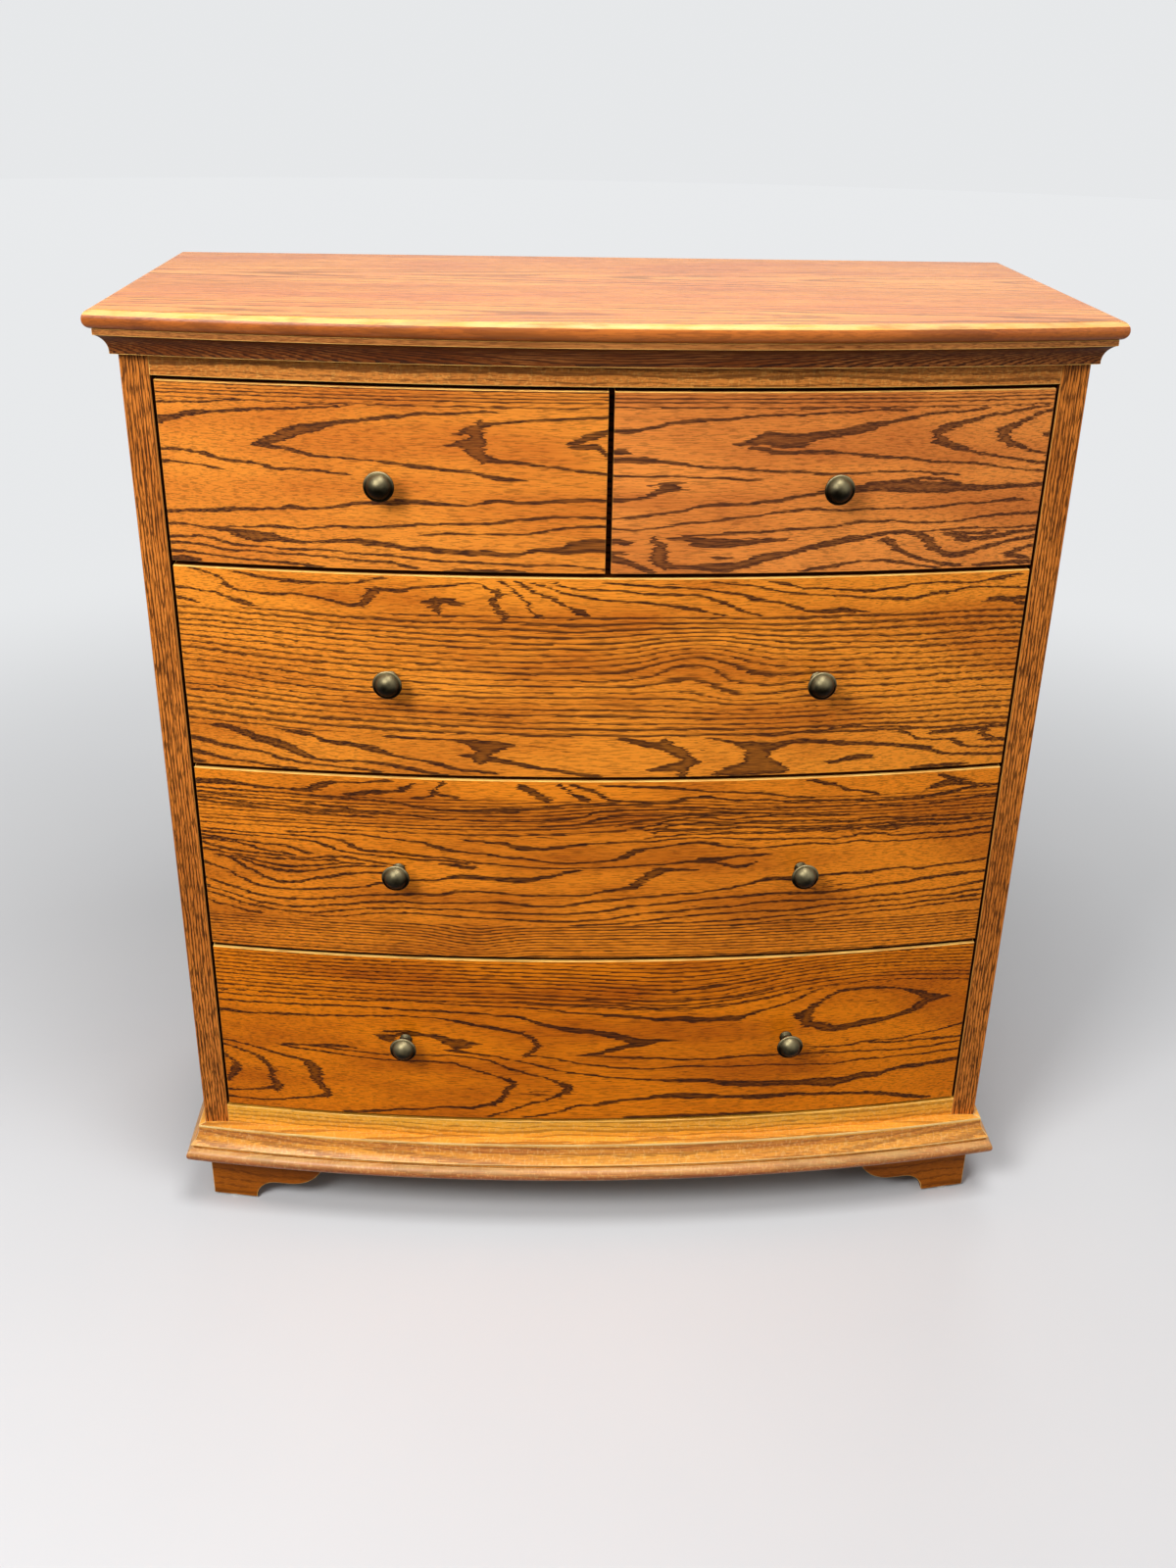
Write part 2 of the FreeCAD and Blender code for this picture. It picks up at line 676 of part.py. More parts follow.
def drawers():
    """Add the three wide drawers and the two small ones over them."""
    for row, base in zip(LARGE_ROWS, ROW_BASE):
        drawer(f"{row}_drawer", (f"-{HALF_FRONT}", HALF_FRONT), (f"-{HALF_BOX}", HALF_BOX), base,
               "Dims.large_drawer_height", ("-Dims.knob_offset", "Dims.knob_offset"))
    gap = "Dims.centre_gap / 2"
    box_gap = "(Dims.partition_thickness / 2 + Dims.box_play)"
    drawer("top_left_drawer", (f"-{HALF_FRONT}", f"-{gap}"), (f"-{HALF_BOX}", f"-{box_gap}"),
           ROW_BASE[3], "Dims.small_drawer_height", ("-Dims.knob_offset",))
    drawer("top_right_drawer", (gap, HALF_FRONT), (box_gap, HALF_BOX),
           ROW_BASE[3], "Dims.small_drawer_height", ("Dims.knob_offset",))


def faults():
    """Return the name of each object that failed and each piece with no sound shape."""
    failed = [item.Name for item in doc.Objects if {"Invalid", "Error"} & set(item.State)]
    unsound = [piece.Label for piece in pieces if piece.Shape.isNull() or not piece.Shape.isValid()]
    return failed + unsound


top_board()
moulding("cornice", cornice_profile, "Dims.cornice_projection", CORNICE_BASE)
moulding("plinth", plinth_profile, "Dims.plinth_projection", PLINTH_BASE)
case_boards()
web_frame()
feet()
drawers()
doc.recompute()

broken = faults()
if broken:
    raise RuntimeError("not sound: " + ", ".join(broken))
os.makedirs("parts", exist_ok=True)
for piece in pieces:
    piece.Shape.exportStep(os.path.join("parts", f"{piece.Label}.step"))
print(f"{len(pieces)} pieces written")
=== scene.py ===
"""A bow front chest of drawers in stained oak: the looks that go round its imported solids.

The pieces that show from the front and the sides are modelled again with eased edges and stand for their
solids. Those inside, behind and below keep theirs and get a finish. Lengths are in metres, and those of the
grain in millimetres.
"""

import logging
import math
from dataclasses import dataclass, field
from enum import Enum
from typing import ClassVar, Iterable, Optional, Sequence, Union

import bmesh
import bpy
from bmesh.types import BMEdge, BMesh, BMFace, BMVert
from mathutils import Matrix, Vector


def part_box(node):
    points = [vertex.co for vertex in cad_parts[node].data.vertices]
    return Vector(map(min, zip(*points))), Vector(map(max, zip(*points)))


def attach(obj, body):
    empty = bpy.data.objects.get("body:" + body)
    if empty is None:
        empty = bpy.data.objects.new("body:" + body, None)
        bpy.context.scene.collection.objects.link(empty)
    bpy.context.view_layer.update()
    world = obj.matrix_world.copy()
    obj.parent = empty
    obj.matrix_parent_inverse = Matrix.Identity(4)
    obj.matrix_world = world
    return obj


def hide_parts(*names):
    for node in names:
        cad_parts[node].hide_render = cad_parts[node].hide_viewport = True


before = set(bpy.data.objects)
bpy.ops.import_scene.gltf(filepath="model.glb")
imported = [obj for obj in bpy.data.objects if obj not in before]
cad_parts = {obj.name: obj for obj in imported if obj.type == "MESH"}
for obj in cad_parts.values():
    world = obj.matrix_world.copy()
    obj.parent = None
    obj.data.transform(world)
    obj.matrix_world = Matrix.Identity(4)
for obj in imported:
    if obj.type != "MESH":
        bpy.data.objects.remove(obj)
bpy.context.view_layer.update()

LOG = logging.getLogger("chest")
MM = 0.001
CARCASS = "carcass"
LEFT, RIGHT = -1, 1
SIDES = {"left": LEFT, "right": RIGHT}
ORIGIN = Vector((0, 0, 0))

# Points nearer than TOUCH are one, a face faces a way when FACING of its normal does, and edges sharper than
# CREASE stay sharp. The last line has the places of the mix node's colour sockets.
TOUCH = 1e-6
FACING = 0.9
CREASE = math.radians(42)
MIX_SHARE, MIX_FIRST, MIX_SECOND, MIX_RESULT = 0, 6, 7, 2

Material = bpy.types.Material
Socket = bpy.types.NodeSocket
Colour = tuple[float, float, float, float]
Value = Union[float, Colour, Vector, Socket]
Pair = tuple[float, float]
Outline = list[Pair]
Ramp = tuple[float, float, float, float]
Places = tuple[tuple[float, float, float], ...]


def tint(red: int, green: int, blue: int) -> Colour:
    """Turns a colour on the 0 to 255 scale of a screen into the shader's own scale.

    Args:
        red: Red on the screen.
        green: Green on the screen.
        blue: Blue on the screen.

    Returns:
        The linear colour with full alpha.
    """
    parts = []
    for level in (red, green, blue):
        share = level / 255
        parts.append(share / 12.92 if share <= 0.04045 else ((share + 0.055) / 1.055) ** 2.4)
    return (*parts, 1.0)


class Slot(str, Enum):
    """Two material slot names, for stained oak and antique brass."""

    OAK = "oak_stained"
    BRASS = "antique_brass"


class Grain(Enum):
    """Which way the grain runs in a piece, as the turn that brings it to the pattern's X axis."""

    ACROSS_FRONT = (-90.0, 0.0, 0.0)
    ACROSS_TOP = (0.0, 0.0, 0.0)
    UPRIGHT_FRONT = (90.0, 0.0, 90.0)
    UPRIGHT_SIDE = (0.0, 90.0, 0.0)
    FRONT_TO_BACK = (0.0, -90.0, -90.0)


class Ripple(Enum):
    """How long the waves of the noises are, in millimetres: along, across and into a board for the oak."""

    WANDER = (150, 34, 60)
    SWAY = (55, 22, 40)
    RAG = (16, 1.4, 1.4)
    JAG = (24, 1.7, 1.7)
    THREAD = (28, 0.8, 0.8)
    CLOUD = (240, 55, 120)
    FIBRE = (60, 0.9, 0.9)
    FLECK = (3.2, 5.0, 6.0)
    WEAR = (38, 9, 9)
    BLOTCH = (12, 12, 12)
    SPECK = (1.1, 1.1, 1.1)
    PATCH = (3, 3, 3)
    TURNING = (0.9, 0.9, 6)
    MOTTLE = (5, 5, 5)
    DULLING = (2, 2, 2)


class Graph:
    """Writes the nodes of one material as sums, noises and mixes."""

    def __init__(self, name: str) -> None:
        """Starts a material with one principled shader."""
        self.material = bpy.data.materials.new(name)
        self.material.use_nodes = True
        self.tree = self.material.node_tree
        self.shader = self.tree.nodes["Principled BSDF"]

    def add(self, kind: str, **settings: object) -> bpy.types.Node:
        """Adds a node and sets its properties."""
        node = self.tree.nodes.new(kind)
        for name, value in settings.items():
            setattr(node, name, value)
        return node

    def feed(self, socket: Socket, value: Value) -> None:
        """Links a socket to an output, or sets it to a constant."""
        if isinstance(value, Socket):
            self.tree.links.new(value, socket)
        else:
            socket.default_value = value

    def math(self, operation: str, *values: Value, clamp: bool = False) -> Socket:
        """Adds one step of arithmetic and returns its result."""
        node = self.add("ShaderNodeMath", operation=operation, use_clamp=clamp)
        for socket, value in zip(node.inputs, values):
            self.feed(socket, value)
        return node.outputs[0]

    def total(self, *values: Value) -> Socket:
        """Adds up any number of values."""
        result = values[0]
        for value in values[1:]:
            result = self.math("ADD", result, value)
        return result

    def scaled(self, value: Value, middle: float, size: float) -> Socket:
        """Measures a value from a middle, in steps of a size."""
        return self.math("MULTIPLY_ADD", value, 1 / size, -middle / size)

    def mapped(self, vector: Value, place: Sequence[float] = (0, 0, 0), turn: Sequence[float] = (0, 0, 0),
               scale: Sequence[float] = (1, 1, 1)) -> Socket:
        """Stretches, turns and moves coordinates.

        Args:
            vector: The coordinates.
            place: The move of the pattern.
            turn: The turn about each axis, in degrees.
            scale: The stretch along each axis.

        Returns:
            The new coordinates.
        """
        node = self.add("ShaderNodeMapping")
        self.feed(node.inputs["Vector"], vector)
        node.inputs["Location"].default_value = place
        node.inputs["Rotation"].default_value = [math.radians(angle) for angle in turn]
        node.inputs["Scale"].default_value = scale
        return node.outputs["Vector"]

    def noise(self, vector: Value, size: Sequence[float], detail: float = 2.0,
              roughness: float = 0.5) -> Socket:
        """Adds soft noise whose grains have the given size along each axis."""
        node = self.add("ShaderNodeTexNoise")
        self.feed(node.inputs["Vector"], self.mapped(vector, scale=[1 / length for length in size]))
        node.inputs["Scale"].default_value = 1.0
        node.inputs["Detail"].default_value = detail
        node.inputs["Roughness"].default_value = roughness
        return node.outputs["Fac"]

    def smooth(self, value: Value, low: Value, high: Value, first: float = 0.0,
               last: float = 1.0) -> Socket:
        """Goes softly from first to last as value goes from low to high."""
        node = self.add("ShaderNodeMapRange", interpolation_type="SMOOTHSTEP")
        for name, given in (("Value", value), ("From Min", low), ("From Max", high)):
            self.feed(node.inputs[name], given)
        node.inputs["To Min"].default_value = first
        node.inputs["To Max"].default_value = last
        return node.outputs["Result"]

    def curve(self, value: Value, places: Sequence[Pair]) -> Socket:
        """Follows a smooth curve through places whose values all lie from 0 to 1."""
        node = self.add("ShaderNodeFloatCurve")
        node.mapping.extend = "HORIZONTAL"
        points = node.mapping.curves[0].points
        points[0].location, points[-1].location = places[0], places[-1]
        for place in places[1:-1]:
            points.new(*place)
        node.mapping.update()
        self.feed(node.inputs["Value"], value)
        return node.outputs["Value"]

    def mix(self, share: Value, first: Value, second: Value) -> Socket:
        """Mixes two colours."""
        node = self.add("ShaderNodeMix", data_type="RGBA")
        self.feed(node.inputs[MIX_SHARE], share)
        self.feed(node.inputs[MIX_FIRST], first)
        self.feed(node.inputs[MIX_SECOND], second)
        return node.outputs[MIX_RESULT]

    def bump(self, height: Value, strength: float, depth: float) -> Socket:
        """Turns a height into a bent normal."""
        node = self.add("ShaderNodeBump")
        node.inputs["Strength"].default_value = strength
        node.inputs["Distance"].default_value = depth
        self.feed(node.inputs["Height"], height)
        return node.outputs["Normal"]

    def set(self, **values: Value) -> Material:
        """Sets sockets of the shader, with words joined by an underscore, and returns the material."""
        for name, value in values.items():
            self.feed(self.shader.inputs[SHADER_SOCKETS[name]], value)
        return self.material


SHADER_SOCKETS = {
    "colour": "Base Color", "metallic": "Metallic", "roughness": "Roughness", "normal": "Normal",
    "specular": "Specular IOR Level", "glow": "Emission Color", "glow_strength": "Emission Strength",
}


@dataclass(frozen=True)
class Swell:
    """A rise in the growth layers, which lifts the lines over it. Lengths are in millimetres.

    Attributes:
        along: Its middle along the grain.
        across: Its middle across the grain.
        length: Its half length along the grain.
        width: Its half width across the grain.
        lift: How far the lines rise at its middle.
    """

    along: float
    across: float
    length: float
    width: float
    lift: float

    def height(self, graph: Graph, along: Value, across: Value) -> Socket:
        """Returns how far the lines rise at a place."""
        reach = graph.scaled(along, self.along, self.length)
        climb = graph.scaled(across, self.across, self.width)
        spread = graph.math("MULTIPLY_ADD", reach, reach, graph.math("MULTIPLY", climb, climb))
        fall = graph.math("EXPONENT", graph.math("MULTIPLY", spread, -1.0))
        return graph.math("MULTIPLY", fall, self.lift)


@dataclass(frozen=True)
class Shoulder:
    """A stretch of a board where the rings crowd together.

    Attributes:
        across: Where it starts, in millimetres across the grain.
        side: 1 where it lies above that line, -1 where it lies below.
        rings: Rings for each millimetre.
        softness: How gradually it starts, in millimetres.
    """

    across: float
    side: int
    rings: float
    softness: float = 12.0

    def height(self, graph: Graph, across: Value) -> Socket:
        """Returns the rings that it adds at a place across the grain."""
        reach = graph.math("MULTIPLY_ADD", across, float(self.side), -self.side * self.across)
        rise = graph.math("SMOOTH_MAX", reach, 0.0, self.softness)
        return graph.math("MULTIPLY", rise, self.rings)


@dataclass(frozen=True)
class Leaf:
    """One board of a glued up face, and how its growth layers lie. Lengths are in millimetres.

    Attributes:
        top: Its upper edge across the grain.
        heart: The line along which its layers lie flattest.
        flat: Half the width of that flat stretch.
        rings: Rings for each millimetre away from the heart.
        lean: Rings for each millimetre along the grain.
        start: The ring at the middle of the heart line.
        waver: How far the lines wander, in rings.
        swells: The rises that bend its lines.
        shoulders: The crowded stretches.
        tone: How much deeper its colour is than the finish.
    """

    top: float = 1e5
    heart: float = -2000.0
    flat: float = 30.0
    rings: float = 0.2
    lean: float = 0.002
    start: float = 0.0
    waver: float = 0.8
    swells: tuple[Swell, ...] = ()
    shoulders: tuple[Shoulder, ...] = ()
    tone: float = 0.0

    def phase(self, graph: Graph, along: Value, across: Value) -> Socket:
        """Returns the count of growth rings at a place on the board."""
        for swell in self.swells:
            across = graph.math("SUBTRACT", across, swell.height(graph, along, across))
        rings = graph.math("MULTIPLY_ADD", along, self.lean, self.start - self.flat * self.rings)
        if self.rings:
            reach = graph.math("SUBTRACT", across, self.heart)
            spread = graph.math("SQRT", graph.math("MULTIPLY_ADD", reach, reach, self.flat ** 2))
            rings = graph.math("MULTIPLY_ADD", spread, self.rings, rings)
        return graph.total(rings, *[shoulder.height(graph, across) for shoulder in self.shoulders])


@dataclass(frozen=True)
class Vein:
    """A bold dark line through a row of places. Lengths are in millimetres.

    Attributes:
        places: Along the grain, across it and the thickness there, in their order along.
        upright: Whether the line runs across the grain, so that a place gives across, along, thickness.
        margin: How far it tapers beyond its first and last place.
        thickest: The most that it can measure.
        slack: The room that its curve has above and below its places.
    """

    places: Places
    upright: bool = False
    margin: ClassVar[float] = 8.0
    thickest: ClassVar[float] = 40.0
    slack: ClassVar[float] = 4.0

    def depth(self, graph: Graph, along: Value, across: Value) -> Socket:
        """Returns how deep inside the line a place is, in millimetres, and less than zero outside."""
        run, rise = (across, along) if self.upright else (along, across)
        runs, rises, thicks = zip(*self.places)
        first = runs[0] - self.margin
        length = runs[-1] - runs[0] + 2 * self.margin
        low, high = min(rises) - self.slack, max(rises) + self.slack
        room = self.thickest + self.margin
        shares = [(x - first) / length for x in runs]
        middles = [(y - low) / (high - low) for y in rises]
        widths = [(thick + self.margin) / room for thick in thicks]
        share = graph.scaled(run, first, length)
        line = graph.curve(share, [*zip(shares, middles)])
        width = graph.curve(share, [(0, 0), *zip(shares, widths), (1, 0)])
        height = graph.math("SUBTRACT", rise, low)
        off = graph.math("ABSOLUTE", graph.math("MULTIPLY_ADD", line, low - high, height))
        inset = graph.math("MULTIPLY_ADD", off, -1.0, -self.margin / 2)
        return graph.math("MULTIPLY_ADD", width, room / 2, inset)


def veins(*rows: Places, upright: bool = False) -> tuple[Vein, ...]:
    """Makes a vein of each row of places."""
    return tuple(Vein(row, upright) for row in rows)


@dataclass(frozen=True)
class Figure:
    """The grain of one face.

    Attributes:
        leaves: Its boards, from the lowest up.
        veins: The bold dark lines on them.
        slant: How far the lines move across the face for each millimetre into it.
        fray, sway, rag: How far noise moves the veins' ends, lines and edges, in millimetres.
        outside: The depth of a place that lies far from every vein.
        edge, core: The depths between which a vein sets in, and pales again to a lower strength.
    """

    leaves: tuple[Leaf, ...] = (Leaf(),)
    veins: tuple[Vein, ...] = ()
    slant: float = 0.0
    fray: ClassVar[float] = 18.0
    sway: ClassVar[float] = 7.0
    rag: ClassVar[float] = 4.0
    outside: ClassVar[float] = -9.0
    edge: ClassVar[Pair] = (1.5, 2.4)
    core: ClassVar[Ramp] = (2.0, 6.0, 1.0, 0.8)

    def rings(self, graph: Graph, spot: Value, along: Value, across: Value,
              layer: Value) -> tuple[Socket, Value]:
        """Counts the growth rings over all the boards.

        Args:
            graph: The material's graph.
            spot: The place on the piece.
            along: The place along the grain.
            across: The place across the grain, which tells the boards apart.
            layer: The same place with the slant of the rings, which counts them.

        Returns:
            The ring count with its wander, and how deep the colour of each board is.
        """
        wander = graph.math("SUBTRACT", graph.noise(spot, Ripple.WANDER.value), 0.5)
        phase: Optional[Socket] = None
        tone: Value = self.leaves[0].tone
        below: Optional[Leaf] = None
        for leaf in self.leaves:
            rings = graph.math("MULTIPLY_ADD", wander, 2 * leaf.waver, leaf.phase(graph, along, layer))
            if phase is not None:
                above = graph.math("GREATER_THAN", across, below.top)
                step = graph.math("MULTIPLY", graph.math("SUBTRACT", rings, phase), above)
                rings = graph.math("ADD", phase, step)
                tone = graph.math("MULTIPLY_ADD", above, leaf.tone - below.tone, tone)
            phase, below = rings, leaf
        return phase, tone

    def drawn(self, graph: Graph, spot: Value, along: Value, across: Value, jag: Value) -> Socket:
        """Returns how strong the veins are at a place, with ragged edges.

        Args:
            graph: The material's graph.
            spot: The place on the piece.
            along: The place along the grain.
            across: The place across the grain.
            jag: Fine noise drawn out along the grain.

        Returns:
            The strength from 0 to 1.
        """
        sway = graph.math("SUBTRACT", graph.noise(spot, Ripple.SWAY.value), 0.5)
        along = graph.math("ADD", along, graph.math("MULTIPLY_ADD", jag, self.fray, -self.fray / 2))
        across = graph.math("MULTIPLY_ADD", sway, self.sway, across)
        deepest: Value = self.outside
        for vein in self.veins:
            deepest = graph.math("MAXIMUM", vein.depth(graph, along, across), deepest)
        rag = graph.noise(spot, Ripple.RAG.value)
        edge = graph.smooth(graph.math("MULTIPLY_ADD", rag, self.rag, deepest), *self.edge)
        return graph.math("MULTIPLY", edge, graph.smooth(deepest, *self.core))


@dataclass(frozen=True)
class OakFinish:
    """Stained and lacquered oak: growth rings, open pores, fine fibres, and edges paler from rubbing and a
    painted highlight.

    Attributes:
        pale, deep: The stain where it is lightest and deepest.
        dark: The early wood and the pores.
        worn_and_highlit: The edges, paler from rubbing and a painted highlight, and the flecks.
        contrast, cloud, pores, flecks: How strong the dark lines, clouds, pores and flecks are.
        pore_length, pore_width: The size of a pore, in millimetres.
        pore_start, pore_edge: The noise at which a pore starts, and how much more makes it full.
        roughness, dark_roughness, specular: The lacquer's, and what the dark lines add.
        band, band_fade: A dark band's least width and what chance adds, in rings, and where it fades.
        jag: How far fine noise frays the rings, in rings.
        threads, onset, clouds, fibres, fleck_edge, wear: Where these start and are full, and how strong.
        groove: How strongly and how deep the dark lines lie in the surface.
    """

    pale: Colour = tint(230, 136, 22)
    deep: Colour = tint(184, 94, 8)
    dark: Colour = tint(58, 24, 3)
    worn_and_highlit: Colour = tint(253, 198, 104)
    contrast: float = 1.0
    cloud: float = 0.7
    pores: float = 0.42
    pore_length: float = 15.0
    pore_width: float = 1.3
    pore_start: float = 0.5
    flecks: float = 0.0
    roughness: float = 0.4
    specular: float = 0.12
    pore_edge: ClassVar[float] = 0.13
    dark_roughness: ClassVar[float] = 0.14
    jag: ClassVar[float] = 0.7
    threads: ClassVar[Ramp] = (0.36, 0.56, 0.74, 1.0)
    band: ClassVar[Pair] = (0.22, 0.32)
    band_fade: ClassVar[Pair] = (0.55, 1.25)
    onset: ClassVar[Ramp] = (0.0, 0.03, 0.0, 0.95)
    clouds: ClassVar[Ramp] = (0.35, 0.68, 0.0, 1.0)
    fibres: ClassVar[Ramp] = (0.35, 0.75, -0.1, 0.35)
    fleck_edge: ClassVar[Pair] = (0.52, 0.66)
    wear_and_painted_light: ClassVar[Ramp] = (0.34, 0.6, 0.6, 1.0)
    groove: ClassVar[Pair] = (0.2, 0.25 * MM)

    def material(self, name: str, grain: Grain, figure: Figure, place: Vector) -> Material:
        """Makes the finish for one piece.

        Args:
            name: The material's name.
            grain: Which way the grain runs.
            figure: The growth lines of the piece.
            place: The point of the chest that is the pattern's own zero.

        Returns:
            The material.
        """
        graph = Graph(name)
        coordinates = graph.add("ShaderNodeTexCoord").outputs["Object"]
        spot = graph.mapped(graph.mapped(coordinates, place=-place), turn=grain.value, scale=(1 / MM,) * 3)
        parts = graph.add("ShaderNodeSeparateXYZ")
        graph.feed(parts.inputs[0], spot)
        along, across, inward = parts.outputs
        layer = graph.math("MULTIPLY_ADD", inward, figure.slant, across) if figure.slant else across
        jag = graph.noise(spot, Ripple.JAG.value, 1.0)
        phase, tone = figure.rings(graph, spot, along, across, layer)
        band = self.early_wood(graph, graph.math("MULTIPLY_ADD", jag, self.jag, phase))
        if figure.veins:
            band = graph.math("MAXIMUM", band, figure.drawn(graph, spot, along, across, jag))
        streaks = graph.noise(spot, (self.pore_length, self.pore_width, self.pore_width), 2.0, 0.6)
        pores = graph.smooth(streaks, self.pore_start, self.pore_start + self.pore_edge)
        threads = graph.smooth(graph.noise(spot, Ripple.THREAD.value), *self.threads)
        dark = graph.math("MULTIPLY", band, threads)
        dark = graph.math("MAXIMUM", dark, graph.math("MULTIPLY", pores, self.pores))
        dark = graph.math("MULTIPLY", dark, self.contrast)
        colour = self.colours(graph, spot, tone, dark)
        rough = graph.math("MULTIPLY_ADD", dark, self.dark_roughness, self.roughness)
        normal = graph.bump(graph.math("MULTIPLY", dark, -1.0), *self.groove)
        return graph.set(colour=colour, roughness=rough, normal=normal, specular=self.specular)

    def early_wood(self, graph: Graph, ring: Value) -> Socket:
        """Returns the dark band that starts each ring sharply and fades into the late wood."""
        share = graph.math("FRACT", ring)
        dice = graph.add("ShaderNodeTexWhiteNoise", noise_dimensions="1D")
        graph.feed(dice.inputs["W"], graph.math("FLOOR", ring))
        least, more = self.band
        width = graph.math("MULTIPLY_ADD", dice.outputs["Value"], more, least)
        full, gone = [graph.math("MULTIPLY", width, part) for part in self.band_fade]
        fade = graph.smooth(share, full, gone, 1.0, 0.0)
        return graph.math("MULTIPLY", fade, graph.smooth(share, *self.onset))

    def colours(self, graph: Graph, spot: Value, tone: Value, dark: Value) -> Socket:
        """Mixes the stain, fibres, early wood, flecks and the edges, paler from rubbing and a painted
        highlight, into one colour.
        """
        cloud = graph.smooth(graph.noise(spot, Ripple.CLOUD.value), *self.clouds)
        shade = graph.math("MULTIPLY_ADD", cloud, self.cloud, tone)
        fibre = graph.smooth(graph.noise(spot, Ripple.FIBRE.value), *self.fibres)
        shade = graph.math("ADD", shade, fibre, clamp=True)
        colour = graph.mix(shade, self.pale, self.deep)
        if self.flecks:
            ripple = graph.noise(spot, Ripple.FLECK.value, 1.0)
            fleck = graph.smooth(ripple, *self.fleck_edge, 0.0, self.flecks)
            colour = graph.mix(fleck, colour, self.worn_and_highlit)
        colour = graph.mix(dark, colour, self.dark)
        # The arris mask paints edges paler: rubbing, and painted highlights where a piece sets it for light
        # along an edge.
        arris = graph.add("ShaderNodeAttribute", attribute_name="arris").outputs["Fac"]
        wear_and_painted_light = graph.smooth(graph.noise(spot, Ripple.WEAR.value), *self.wear_and_painted_light)
        return graph.mix(graph.math("MULTIPLY", arris, wear_and_painted_light), colour, self.worn_and_highlit)


@dataclass(frozen=True)
class BrassFinish:
    """Antique brass: dark patina, painted darker below as shade and paler on top as rubbing and a painted
    highlight, with fine turning marks.
    """

    patina: Colour = tint(15, 12, 6)
    worn_and_highlit: Colour = tint(146, 134, 100)
    specks: Colour = tint(36, 29, 18)
    blotches: ClassVar[float] = 0.4
    lit_and_worn_span: ClassVar[Pair] = (0.58, 1.28)
    speck_edge: ClassVar[Ramp] = (0.6, 0.76, 0.0, 0.3)
    roughness: ClassVar[Ramp] = (0.3, 0.7, 0.42, 0.5)
    marks: ClassVar[Pair] = (0.06, 0.1 * MM)

    def material(self, name: str) -> Material:
        """Makes the finish."""
        graph = Graph(name)
        spot = graph.mapped(graph.add("ShaderNodeTexCoord").outputs["Object"], scale=(1 / MM,) * 3)
        # Painted light: the height on the knob paints the top paler as a highlight and rubbing, and the
        # bottom darker as shade.
        wear_and_painted_light = graph.add("ShaderNodeAttribute", attribute_name="wear_and_painted_light").outputs["Fac"]
        worn_and_lit = graph.math("MULTIPLY_ADD", graph.noise(spot, Ripple.BLOTCH.value), self.blotches, wear_and_painted_light)
        colour = graph.mix(graph.smooth(worn_and_lit, *self.lit_and_worn_span), self.patina, self.worn_and_highlit)
        speck = graph.smooth(graph.noise(spot, Ripple.SPECK.value), *self.speck_edge)
        colour = graph.mix(speck, colour, self.specks)
        rough = graph.smooth(graph.noise(spot, Ripple.PATCH.value), *self.roughness)
        normal = graph.bump(graph.noise(spot, Ripple.TURNING.value, 1.0), *self.marks)
        return graph.set(colour=colour, metallic=1.0, roughness=rough, normal=normal)


@dataclass(frozen=True)
class PlainFinish:
    """A moulded or plated finish with slight mottling."""

    base: Colour
    mottle: Colour
    metallic: float = 0.0
    roughness: float = 0.45
    dulling: ClassVar[Pair] = (0.3, 0.7)
    duller: ClassVar[float] = 0.12

    def material(self, name: str) -> Material:
        """Makes the finish."""
        graph = Graph(name)
        spot = graph.mapped(graph.add("ShaderNodeTexCoord").outputs["Object"], scale=(1 / MM,) * 3)
        colour = graph.mix(graph.noise(spot, Ripple.MOTTLE.value, 3.0), self.base, self.mottle)
        dull = graph.noise(spot, Ripple.DULLING.value)
        rough = graph.smooth(dull, *self.dulling, self.roughness, self.roughness + self.duller)
        return graph.set(colour=colour, metallic=self.metallic, roughness=rough)


@dataclass(frozen=True)
class Bow:
    """The curve of the front: circles about one upright axis behind the chest."""

    axis_y: float
    face_radius: float

    def y(self, x: float, radius: float) -> float:
        """Returns where a circle about the axis crosses the line at x."""
        return self.axis_y - math.sqrt(radius ** 2 - x ** 2)

    @property
    def centre(self) -> Vector:
        """The axis's foot."""
        return Vector((0.0, self.axis_y, 0.0))


BOW_RADIUS = 2.62
BOW = Bow(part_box("lower_drawer_front")[0].y + BOW_RADIUS, BOW_RADIUS)


def closed_wire(bm: BMesh, points: Iterable[Vector]) -> list[BMEdge]:
    """Adds a closed run of edges through points."""
    corners = [bm.verts.new(point) for point in points]
    return [bm.edges.new((corners[index - 1], corners[index])) for index in range(len(corners))]


def block(low: Vector, high: Vector) -> BMesh:
    """Starts a rectangular board between two corners."""
    bm = bmesh.new()
    bmesh.ops.create_cube(bm, size=1.0)
    bmesh.ops.scale(bm, vec=high - low, verts=bm.verts)
    bmesh.ops.translate(bm, vec=(low + high) / 2, verts=bm.verts)
    return bm


def turned_about_bow(section: Outline, half: float, steps: int = 64) -> BMesh:
    """Turns a section about the bow's axis into an open ended bowed length.

    Args:
        section: The closed section, as radius and height.
        half: How far the length must reach to each side.
        steps: How many flats make the curve.

    Returns:
        The length, a little longer than asked, so that its ends can be sawn.
    """
    bm = bmesh.new()
    spare = 1.03
    angle = math.asin(half * spare / min(radius for radius, _ in section))
    closed_wire(bm, [Vector((0, BOW.axis_y - radius, z)) for radius, z in section])
    bmesh.ops.rotate(bm, cent=BOW.centre, matrix=Matrix.Rotation(-angle, 3, "Z"), verts=bm.verts)
    bmesh.ops.spin(bm, geom=bm.verts[:] + bm.edges[:], cent=BOW.centre, axis=(0, 0, 1), dvec=(0, 0, 0),
                   angle=2 * angle, steps=steps, use_merge=False, use_duplicate=False)
    return bm


